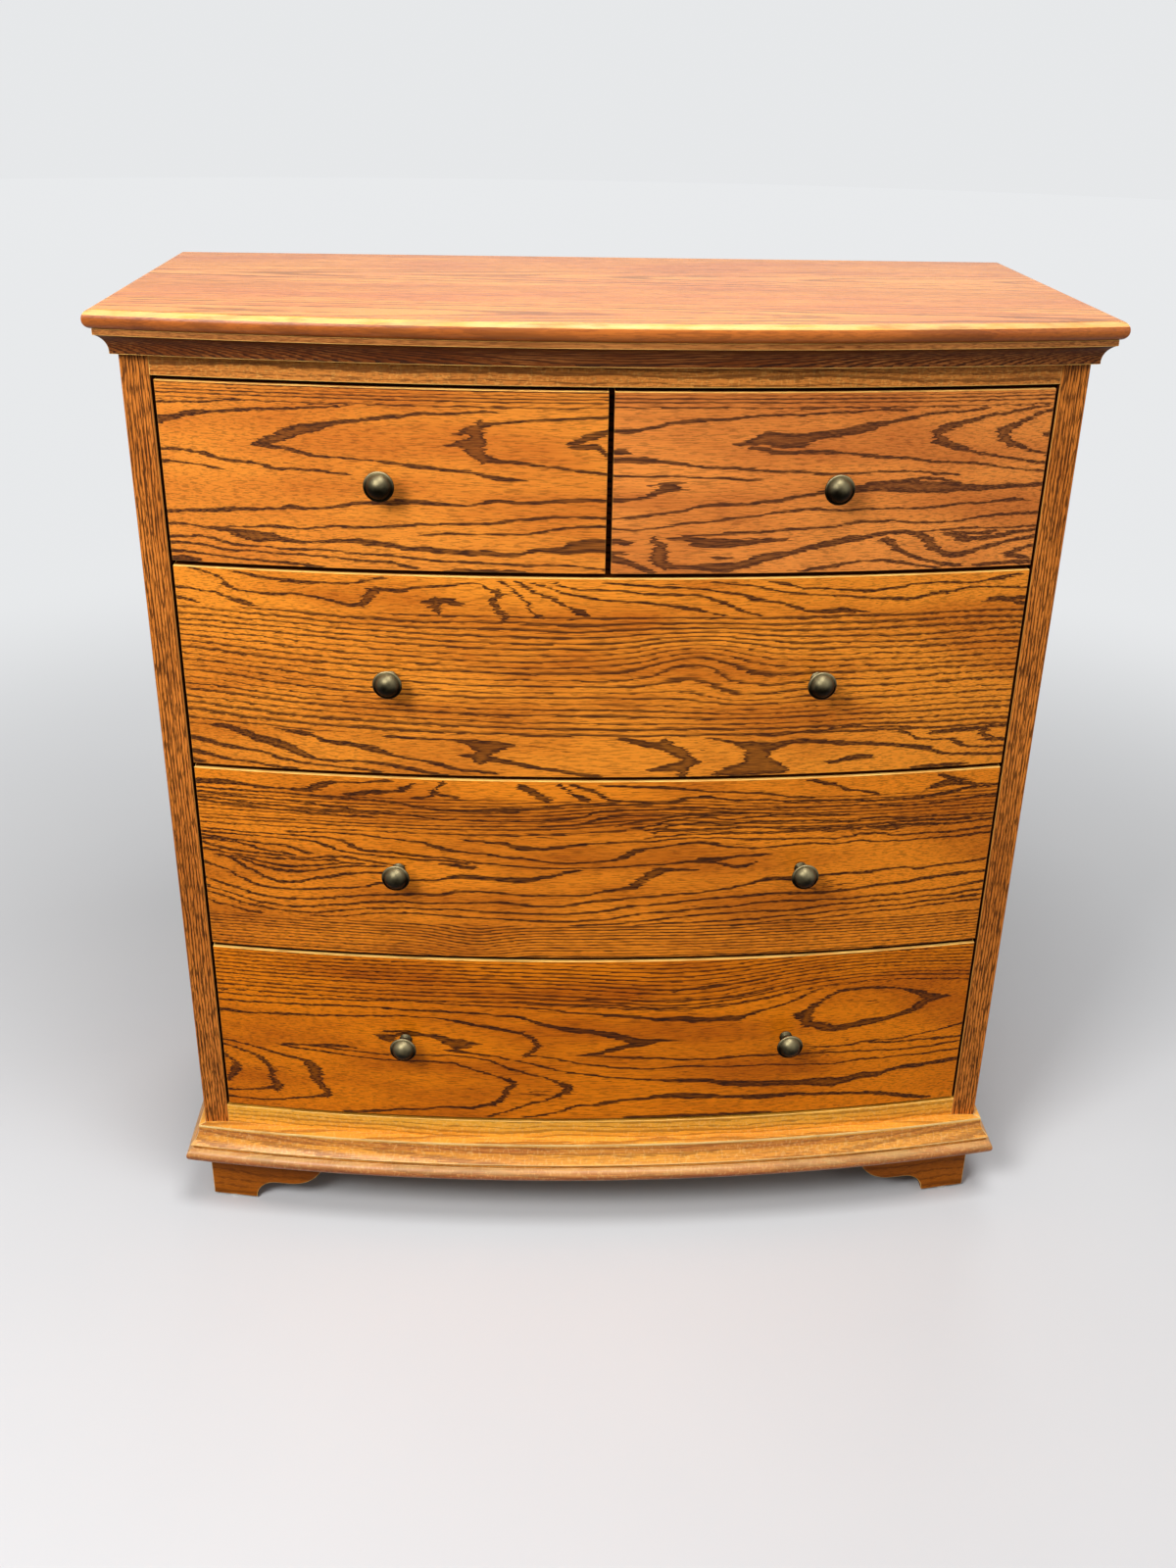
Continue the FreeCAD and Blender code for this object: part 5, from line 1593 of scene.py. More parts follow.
UPPER_VEINS = veins(
    ((-425, 221, 2), (-405, 217.5, 2.2), (-396, 214.5, 4), (-392, 209, 8), (-387, 203.5, 5),
     (-376, 200, 2.4), (-345, 197.5, 3), (-318, 199, 2.4), (-300, 197, 2.4), (-285, 194, 3), (-270, 191, 4),
     (-258, 189.5, 3.6), (-250, 192, 8), (-244, 199, 15), (-237, 203.5, 12), (-228, 207.5, 4),
     (-212, 207, 4), (-198, 210, 2.6), (-165, 212.5, 2.6), (-150, 214.5, 2.4), (-138, 216, 2.4),
     (-125, 212.5, 2.4), (-115, 208, 4)),
    ((-378, 220, 2.6), (-360, 217, 3), (-345, 214.5, 3.4), (-335, 212.5, 4), (-322, 211.5, 5),
     (-310, 211, 4), (-290, 212, 2.6), (-262, 211.5, 2.4), (-250, 214, 2.2), (-238, 218, 2.2),
     (-228, 220, 2)),
    ((-448, 200, 3), (-430, 200, 2.6), (-415, 198.5, 2.4), (-400, 196, 2.6), (-388, 192, 3.6),
     (-378, 189, 5.5), (-368, 186.5, 4), (-360, 184.5, 1.6)),
    ((-448, 190, 4), (-432, 187, 3), (-420, 184, 1.6)),
    ((-188, 195, 3), (-180, 196, 5), (-165, 197, 6), (-152, 194, 6), (-148, 193, 2)),
    ((-110, 219, 2.4), (-100, 214.5, 3), (-94, 208.5, 4), (-86, 201.5, 4), (-80, 195, 5), (-76, 188, 6),
     (-70, 182, 6)),
    ((-92, 219, 3), (-82, 213.5, 3.6), (-74, 208, 4), (-62, 202.5, 3.6), (-50, 197.5, 3.6), (-40, 192, 4),
     (-34, 188, 6), (-26, 186, 8), (-20, 184, 4)),
    ((-72, 218, 2.4), (-60, 213, 2.6), (-48, 207.5, 2.6), (-30, 204, 2.6), (-15, 202, 2.4), (5, 200.5, 2.4),
     (35, 198, 2.4), (60, 196, 2.8), (75, 194, 4), (88, 191, 4), (105, 187, 3), (120, 183.5, 2.4)),
    ((-52, 218, 2.4), (-40, 213.5, 2.4), (-25, 211, 2.2), (0, 210.5, 2.2), (25, 208.5, 2.2), (50, 206, 2.6),
     (75, 205, 2.4), (95, 204, 2.6), (110, 200.5, 3), (122, 197, 4), (132, 192.5, 3), (145, 187.5, 3),
     (158, 184, 2.4)),
    ((0, 217.5, 2), (40, 215.5, 2.2), (75, 213, 2.2), (100, 211, 2.4), (120, 208.5, 2.8), (135, 206.5, 3),
     (148, 202.5, 3.4), (165, 198.5, 2.6), (185, 194, 3), (200, 189, 3), (215, 186, 3), (230, 186, 5),
     (245, 186.5, 6), (258, 184.5, 4), (270, 183.5, 2)),
    ((110, 220, 2), (140, 215.5, 2.2), (160, 212.5, 2), (180, 208, 2.2), (210, 205, 2.4), (240, 202.5, 2.4),
     (270, 199.5, 3), (290, 198, 4), (308, 197, 4), (322, 198, 3), (335, 201, 4), (350, 202.5, 4),
     (362, 203.5, 3), (380, 205.5, 2.4), (400, 205, 2.2), (448, 202.5, 2)),
    ((170, 218.5, 2.6), (190, 214.5, 2.6), (205, 211.5, 2.2), (230, 211, 2.2), (255, 209, 3),
     (275, 208, 3.4), (292, 209.5, 2.6), (308, 210.5, 2.6), (322, 213, 2.4), (345, 213, 2.2),
     (365, 212.5, 3), (385, 211.5, 2.4), (400, 214, 3), (412, 216, 5), (422, 217.5, 5), (432, 220, 3)),
    ((398, 192, 2), (412, 192.5, 5), (425, 191, 6), (438, 192, 5), (448, 194, 4)),
    ((430, 187.5, 2), (448, 185, 3)),
    ((-418, 46, 3), (-405, 46, 5), (-395, 43.5, 7), (-382, 39, 8), (-370, 34.5, 9), (-355, 31, 9),
     (-342, 27, 11), (-330, 23, 12), (-320, 18.5, 9), (-310, 15.5, 5), (-298, 13.5, 3), (-280, 13.5, 2.4),
     (-255, 13.5, 2.6), (-235, 11, 3.4), (-218, 8, 5), (-205, 5.5, 5), (-190, 3, 4), (-170, 1.5, 3)),
    ((-350, 47, 2), (-340, 45.5, 4), (-325, 44, 7), (-312, 43, 5), (-300, 37.5, 4.5), (-285, 34.5, 5),
     (-270, 33, 6), (-255, 30, 7), (-240, 27, 7), (-228, 23, 4.5), (-215, 20, 3), (-200, 17.5, 2.8),
     (-185, 15, 4), (-170, 11.5, 5), (-155, 8, 4), (-140, 5.5, 3.4), (-118, 2.5, 2.6)),
    ((-448, 32, 5), (-432, 29, 5.5), (-415, 26, 5.5), (-402, 23.5, 5), (-385, 21, 3.4), (-370, 19.5, 3),
     (-355, 14.5, 3.4), (-340, 10.5, 3.4), (-320, 8.5, 3), (-295, 7, 2.8), (-265, 4.5, 3), (-240, 2, 2.6)),
    ((-448, 15, 5), (-430, 12.5, 5), (-415, 9.5, 4.5), (-400, 7.5, 3), (-380, 6, 2.6), (-350, 3, 2.6),
     (-330, 1, 2)),
    ((-448, 5, 3), (-430, 2.5, 3)),
    ((-230, 44, 2), (-200, 43, 3), (-165, 41.5, 3), (-148, 39, 6), (-135, 36, 12), (-120, 34.5, 14),
     (-108, 36, 9), (-96, 36.5, 3)),
    ((-150, 24, 3), (-138, 23, 7), (-122, 20.5, 8), (-108, 17.5, 6), (-92, 14, 5.5), (-75, 10.5, 5),
     (-58, 9, 4), (-42, 7, 5), (-25, 4, 4), (-5, 1.5, 3)),
    ((15, 46, 2), (25, 44, 5), (38, 40, 7), (50, 37.5, 7), (62, 35.5, 9), (72, 32, 12), (82, 28, 13),
     (90, 24.5, 9), (97, 20, 6), (102, 17, 3)),
    ((50, 8, 3), (60, 10, 6), (70, 11, 8), (82, 13, 11), (92, 16, 9), (100, 17.5, 4)),
    ((112, 45, 1.6), (125, 42, 3), (138, 40, 4), (150, 36, 10), (165, 34, 13), (180, 34, 11), (195, 36.5, 7),
     (210, 38.5, 6), (230, 38, 6), (250, 36, 6), (270, 34.5, 5), (290, 33, 5), (310, 31, 4), (330, 28.5, 5),
     (345, 25.5, 7), (358, 22.5, 6), (368, 18, 4), (380, 15, 3.4), (395, 13.5, 4), (410, 12.5, 4.5),
     (430, 12, 4), (448, 11.5, 3)),
    ((120, 3, 4), (132, 7, 10), (145, 8, 15), (160, 10, 18), (175, 11, 19), (188, 9, 16), (197, 6, 8)),
    ((244, 14, 3), (252, 13.5, 5), (262, 15.5, 6.5), (275, 17, 8), (287, 17, 7), (295, 16, 3)),
    ((318, 45, 2), (328, 44, 4), (336, 39.5, 3), (346, 36.5, 2.6), (362, 35, 2.4), (378, 34.5, 2.6),
     (386, 31, 6), (394, 26.5, 4.5), (402, 23, 3), (415, 22, 2.4), (448, 21.5, 2)),
    ((356, 42.5, 2), (372, 44, 5), (388, 44, 5), (405, 44, 4), (425, 45, 3), (448, 47, 2.4)),
    ((418, 31, 3), (432, 30, 3), (448, 29, 3)),
    ((340, 1, 3), (370, 1.5, 4), (400, 1, 3)),
    ((170, 47, 2), (190, 47, 2.6), (210, 50, 2.4), (235, 53, 2.4), (258, 54, 2), (290, 52.5, 2),
     (330, 50.5, 2.2), (365, 48.5, 1.8)),
)
UPPER_UPRIGHTS = veins(
    ((183, -105, 10), (187, -110, 9), (192, -114, 9), (198, -116, 8), (203, -112, 10), (206, -108, 8),
     (209, -112, 5)),
    ((185, -174, 6), (190, -175, 10), (196, -176, 10)),
    ((20, -130, 16), (26, -128, 18), (32, -125, 20)),
    ((2, 86, 8), (8, 84, 14), (14, 88, 18), (20, 92, 14), (26, 84, 18), (32, 76, 20), (38, 66, 16)),
    ((18, 168, 34), (24, 166, 28), (30, 164, 26)),
    ((32, 428, 8), (35, 421, 8), (38, 416, 10), (42, 418, 9)),
    upright=True,
)
UPPER_FIGURE = Figure(
    (
        Leaf(top=47, rings=0.0, lean=0.0, start=0.45, waver=0.2),
        Leaf(top=182, heart=-2000, rings=0.145, lean=0.0006, waver=0.7, swells=(
            Swell(100, 135, 62, 30, 20), Swell(150, 95, 60, 24, -9), Swell(-470, 110, 170, 110, 16))),
        Leaf(rings=0.0, lean=0.0, start=0.45, waver=0.2),
    ),
    UPPER_VEINS + UPPER_UPRIGHTS,
)
MIDDLE_VEINS = veins(
    ((-448, 205, 5), (-425, 208, 7), (-400, 207.5, 5), (-380, 205, 4), (-350, 203.5, 3), (-325, 203.5, 4),
     (-310, 208, 9), (-297, 213, 6), (-288, 215, 2.5), (-262, 215, 2.5), (-248, 217, 3), (-234, 219, 3)),
    ((-278, 201, 2), (-262, 202.5, 5), (-240, 205, 5), (-224, 208, 4), (-214, 211, 7), (-208, 217, 5)),
    ((-206, 201, 2.5), (-190, 202, 3), (-182, 206, 6), (-180, 212, 6), (-172, 219, 5)),
    ((-184, 209, 4), (-176, 205, 4), (-165, 202, 3), (-154, 200.5, 2)),
    ((-90, 217, 6), (-80, 213, 9), (-70, 206, 11), (-60, 200, 7)),
    ((-46, 219, 5), (-40, 214, 5), (-32, 207, 5), (-18, 201, 6)),
    ((-30, 219, 4), (-22, 215, 4), (-10, 211, 4), (-2, 207, 5), (8, 202, 4), (22, 200, 3), (60, 197.5, 2.5),
     (90, 198.5, 2)),
    ((0, 217, 2), (40, 217, 3), (72, 215, 4.5), (95, 212, 3), (140, 208.5, 2.2), (180, 205, 2.5),
     (205, 201.5, 3), (228, 198.5, 2.5)),
    ((80, 199, 2), (98, 202, 3), (112, 203.5, 4), (124, 202, 3), (145, 200, 2.2), (180, 198, 2),
     (210, 194.5, 2.2), (260, 193.5, 2.5), (310, 191.5, 2.2), (345, 192.5, 2.5), (368, 194.5, 4),
     (385, 196.5, 4), (410, 199, 3), (448, 202, 2)),
    ((228, 219, 3), (245, 216.5, 3.5), (255, 214.5, 4), (262, 211, 4), (270, 207.5, 4), (280, 206, 3),
     (290, 203.5, 3.5), (304, 200, 4)),
    ((360, 201, 2), (372, 206, 7), (385, 207.5, 9), (400, 206, 7), (420, 203, 3), (448, 201, 2)),
    ((374, 219, 4), (386, 214, 6), (396, 211.5, 5), (407, 210, 2)),
    ((-448, 199.5, 2), (-360, 198.5, 2), (-300, 197, 2.2), (-260, 195.5, 2.2), (-230, 193, 2.5),
     (-200, 190, 2.8), (-170, 186.5, 3), (-140, 186, 3.2), (-112, 188, 6), (-88, 189, 5), (-60, 191.5, 3),
     (-40, 194, 2.8), (-10, 195.5, 2.4), (50, 195, 2)),
    ((-448, 194, 2), (-400, 192, 2), (-350, 190, 2.2), (-320, 188.5, 2.5), (-300, 186, 3.2),
     (-280, 184, 2.6), (-262, 181.5, 2.8), (-230, 181, 1.6)),
    ((-448, 188, 1.8), (-400, 185.5, 2), (-360, 183.5, 2), (-300, 180.5, 2), (-240, 179.5, 2.2),
     (-200, 178, 2), (-160, 175, 2), (-110, 174, 2.2), (-60, 176, 2.4), (-40, 178, 2.8), (-20, 180.5, 3),
     (-8, 184.5, 3), (6, 187, 2.6), (40, 189, 2.2), (110, 191, 2.2), (150, 188, 1.8), (220, 187, 1.8),
     (300, 185.5, 1.8), (360, 184, 2), (400, 186, 2.4), (448, 189.5, 2.2)),
    ((-448, 183, 1.8), (-400, 180.5, 2), (-360, 178.5, 2), (-300, 175.5, 2), (-250, 174.5, 1.6)),
    ((-70, 169, 1.6), (-30, 171, 2.2), (-15, 173.5, 3), (0, 177.5, 3.5), (15, 180.5, 2.4), (60, 183, 2),
     (110, 184, 1.8), (170, 183, 1.5)),
    ((14, 168, 1.6), (24, 170.5, 2.6), (38, 174.5, 3), (52, 176.5, 2.4), (80, 181, 2.4), (130, 181, 1.8)),
    ((26, 164.5, 1.6), (46, 168.5, 2.4), (62, 172, 2.8), (74, 176, 2.8), (95, 177.5, 2.4), (118, 178, 2.4),
     (138, 175.5, 2.4), (158, 177, 2.4), (200, 178, 1.8), (270, 176, 1.6)),
    ((48, 163.5, 1.6), (66, 166.5, 2.4), (80, 169.5, 2.6), (110, 171, 2.2), (140, 169, 2.2), (166, 171, 2.8),
     (190, 169.5, 2.4), (216, 170.5, 2.4), (250, 168.5, 2.2), (276, 167.5, 2.6), (295, 169.5, 3),
     (330, 168, 2), (400, 167, 1.8), (448, 166, 1.8)),
    ((56, 159.5, 1.6), (80, 163.5, 2.2), (150, 163.5, 1.8), (240, 161, 2), (300, 161, 2), (340, 163, 2.2),
     (390, 162, 3), (415, 162, 2)),
    ((48, 154, 1.6), (75, 157, 2.2), (120, 158.5, 2), (170, 157, 2), (220, 159, 2.2), (290, 158, 2.2),
     (335, 158.5, 3), (370, 157.5, 3), (405, 157.5, 2.6), (448, 161, 2)),
    ((-150, 150, 1.8), (-128, 147.5, 3), (-112, 147, 4.5), (-100, 143, 6), (-85, 140.5, 6.5),
     (-70, 140.5, 4.5), (-55, 142, 5), (-40, 144.5, 4), (-18, 147, 3), (10, 148.5, 2.4), (50, 150, 2),
     (100, 153, 2), (160, 150.5, 2.4), (205, 149, 3), (245, 148, 2.4), (280, 149.5, 2.4), (308, 150.5, 2.8),
     (326, 148, 2.4), (370, 146.5, 2.2), (448, 150, 2.4)),
    ((-345, 152, 1.8), (-300, 153, 1.8), (-250, 150.5, 2), (-208, 147, 2.2), (-198, 146, 3), (-190, 142, 5),
     (-180, 139.5, 5), (-168, 136.5, 4), (-152, 134.5, 2.6), (-130, 132.5, 2.4), (-100, 128.5, 2.6),
     (-80, 127, 3), (-60, 124.5, 3), (-36, 123.5, 2.6), (-8, 124, 2.6), (12, 126.5, 3), (24, 130, 7),
     (33, 134.5, 9), (42, 138.5, 5), (54, 142.5, 3), (70, 144.5, 2.2), (98, 146, 2.8), (118, 145.5, 4.6),
     (132, 143, 4), (146, 140.5, 2.6), (180, 139, 2.2), (230, 141, 2.2), (268, 141, 2.2), (290, 143, 2.6),
     (304, 141, 2.2), (350, 140, 2), (448, 141.5, 2.2)),
    ((-448, 150, 2), (-400, 147.5, 2), (-330, 147, 2.2), (-308, 146, 2.4), (-288, 144, 2.8), (-279, 141, 5),
     (-270, 136, 5.5), (-258, 133, 3.2), (-240, 132, 2.6), (-222, 130.5, 2.6), (-200, 128.5, 2.4),
     (-170, 125.5, 2.4), (-140, 122, 2.4), (-105, 119, 2.4), (-85, 117, 2.6), (-50, 116, 2.4),
     (10, 116.5, 2.4), (40, 119, 2.2), (70, 121, 2.4), (98, 123, 3), (116, 125, 6.5), (130, 125, 6),
     (142, 127.5, 3), (160, 129, 3.2), (178, 129.5, 4), (186, 130, 2)),
    ((128, 122, 3), (142, 117.5, 4.4), (156, 115.5, 4.4), (166, 118, 3), (174, 121, 1.6)),
    ((-448, 144.5, 2), (-400, 143, 2), (-350, 141.5, 2), (-324, 141, 2.2), (-310, 138.5, 3.4),
     (-302, 135, 4.5), (-292, 131.5, 4), (-280, 129, 2.6), (-250, 127, 2.4), (-215, 125, 2.4),
     (-180, 123, 2.4), (-150, 120.5, 3)),
    ((-178, 118.5, 2), (-162, 117, 3), (-150, 115.5, 5), (-138, 116.5, 2.5)),
    ((-448, 140, 2), (-410, 137, 2), (-372, 134, 2.2), (-350, 133.5, 2.4), (-340, 131, 3), (-332, 128, 3.6),
     (-322, 126, 2)),
    ((-448, 136, 2), (-412, 134, 2.2), (-400, 133, 2.4), (-388, 130.5, 3.6), (-377, 127.5, 3),
     (-364, 125.5, 2.4), (-350, 124.5, 3), (-340, 122.5, 2)),
    ((-448, 132, 2.4), (-432, 128, 3), (-418, 125, 3), (-400, 123.5, 2.4), (-360, 121.5, 2.2),
     (-330, 120, 2), (-310, 122, 2), (-280, 122, 2.2), (-260, 120, 2.4), (-240, 118, 2.4), (-220, 116, 2)),
    ((-448, 125, 2.2), (-430, 122, 2.4), (-412, 119, 2.4), (-380, 118, 2.4), (-350, 117, 2.6),
     (-320, 118, 2.4), (-300, 118.5, 2.2), (-282, 116, 1.8)),
    ((-408, 116, 2), (-392, 114.5, 2.6), (-380, 112.5, 3), (-366, 110, 3.4), (-350, 108.5, 4),
     (-332, 109.5, 3), (-312, 112, 2.6), (-290, 114.5, 2.6), (-262, 116.5, 1.8)),
    ((-402, 113, 2), (-388, 108.5, 3), (-376, 105.5, 3.6), (-362, 103, 4.2), (-346, 102, 4.2),
     (-330, 103.5, 3.2), (-310, 107, 2.8), (-290, 110, 2.8), (-265, 113, 2.6), (-240, 114.5, 2.2)),
    ((-428, 117, 2.4), (-416, 114.5, 4), (-405, 109, 4.2), (-394, 102.5, 4.2), (-383, 97, 4),
     (-370, 91.5, 4), (-356, 88.5, 4.2), (-342, 89, 4), (-326, 92, 3.6), (-310, 96.5, 4.2),
     (-294, 99.5, 3.2), (-280, 102, 3), (-262, 105, 2.6), (-235, 106, 2)),
    ((-448, 108, 2.8), (-434, 104, 2.6), (-422, 100, 3.6), (-412, 93.5, 4), (-400, 87.5, 3.6),
     (-387, 82.5, 3.2), (-372, 80, 2.8), (-350, 78.5, 2.8), (-325, 79.5, 2.6), (-295, 82.5, 2.6),
     (-265, 86.5, 2.6), (-252, 91, 3), (-238, 94, 3), (-205, 98, 3), (-180, 100.5, 3.4), (-165, 103.5, 5),
     (-140, 104.5, 5), (-115, 102.5, 6), (-90, 101.5, 7), (-66, 103.5, 6), (-50, 106.5, 5),
     (-40, 110.5, 4.5), (-24, 113, 2)),
    ((-448, 86.5, 2.6), (-430, 81, 2.6), (-402, 73.5, 3), (-388, 69, 3), (-370, 66.5, 2.6), (-340, 66, 2.6),
     (-300, 70, 2.6), (-270, 74, 2.6), (-240, 77.5, 2.8), (-210, 79.5, 3), (-184, 79.5, 3),
     (-170, 81.5, 3.2), (-158, 84.5, 3.6), (-130, 84.5, 3.4), (-104, 83.5, 3), (-86, 81, 3),
     (-55, 81.5, 2.8), (-20, 82.5, 2.8), (0, 86, 3), (22, 89.5, 3.6), (36, 94, 9), (46, 101, 13),
     (56, 108, 13), (70, 113, 7), (88, 113.5, 3.4), (106, 112.5, 2)),
    ((-448, 77, 2.4), (-428, 71.5, 2.4), (-408, 66, 2.6), (-392, 60.5, 2.8), (-378, 57.5, 2.6),
     (-355, 56.5, 2.6), (-325, 58.5, 2.4), (-270, 65, 2.4), (-235, 69, 2.4), (-200, 69, 2.4),
     (-150, 70, 2.4), (-112, 72, 2.6), (-95, 70, 2.6), (-60, 68, 2.8), (-32, 70, 2.8), (-8, 74.5, 3),
     (20, 77, 3.2), (46, 80, 3.2), (76, 81, 2.6), (104, 83.5, 2.8), (140, 88.5, 3), (162, 92, 3),
     (178, 96, 4.4), (194, 99, 6), (215, 98.5, 5), (245, 101, 3), (285, 102, 2.8), (305, 102.5, 4),
     (322, 105, 2.8), (345, 105, 2.8), (364, 102.5, 3), (385, 104, 3), (420, 105.5, 2.8), (448, 110, 3)),
    ((-448, 70.5, 2.2), (-425, 64, 2.4), (-405, 57, 2.6), (-388, 52.5, 2.6), (-370, 50, 2.4),
     (-345, 49.5, 2.2), (-310, 53, 2.2), (-270, 58, 2.2), (-235, 62, 2.4), (-200, 62, 2.2),
     (-150, 60.5, 2.4), (-100, 58, 2.8), (-40, 57, 2.8), (-18, 58.5, 3), (4, 62, 3.2), (22, 65.5, 3.6),
     (42, 68, 3), (72, 71, 2.6), (104, 72.5, 2.6), (136, 77, 2.6), (165, 78.5, 2.8), (190, 79.5, 3.2),
     (220, 79, 3.6), (250, 78, 3.2), (285, 80, 2.8), (318, 83, 3.6), (348, 85, 3.2), (372, 88.5, 4),
     (400, 90, 4.2), (448, 93.5, 3)),
    ((-448, 59, 2), (-425, 52, 2.2), (-402, 46.5, 2.2), (-380, 44, 1.8)),
    ((-325, 46.5, 1.6), (-290, 48, 2), (-255, 52.5, 2.2), (-225, 55.5, 2.4), (-195, 55.5, 2.2),
     (-160, 52, 2.2), (-110, 50, 2.4), (-50, 48.5, 2.4), (-8, 49, 2.6), (24, 53, 2.6), (60, 59, 2.6),
     (100, 61.5, 2.4), (150, 65, 2.4), (178, 68, 2.6), (205, 69, 2.6), (240, 68.5, 2.4), (300, 69, 2.6),
     (350, 71, 2.6), (408, 74.5, 2.6), (428, 76.5, 3.6), (448, 78.5, 3.6)),
    ((-30, 43, 1.6), (20, 45, 2.2), (70, 49.5, 2.2), (100, 53.5, 2.4), (150, 56, 2.4), (205, 56.5, 2.4),
     (240, 59.5, 2.4), (300, 62, 2.2), (360, 63, 2.2), (448, 68, 2.4)),
    ((40, 41.5, 1.6), (100, 45, 2), (160, 46.5, 2.2), (220, 50.5, 2.2), (290, 54, 2.2), (350, 56, 2.2),
     (448, 61, 2)),
    ((150, 40, 1.6), (200, 43, 1.8), (270, 45.5, 2), (330, 49, 2), (390, 52, 2), (448, 55, 1.8)),
)
MIDDLE_FIGURE = Figure(
    (
        Leaf(top=42, heart=-2000, rings=0.26, lean=0.001, waver=0.6, swells=(Swell(-140, 20, 45, 40, -9),)),
        Leaf(top=200, rings=0.0, lean=0.0, start=0.45, waver=0.3, swells=(Swell(60, 185, 110, 40, 10),),
             shoulders=(Shoulder(157, 1, 0.25, 8),)),
        Leaf(rings=0.0, lean=0.0, start=0.45, waver=0.2),
    ),
    MIDDLE_VEINS,
)
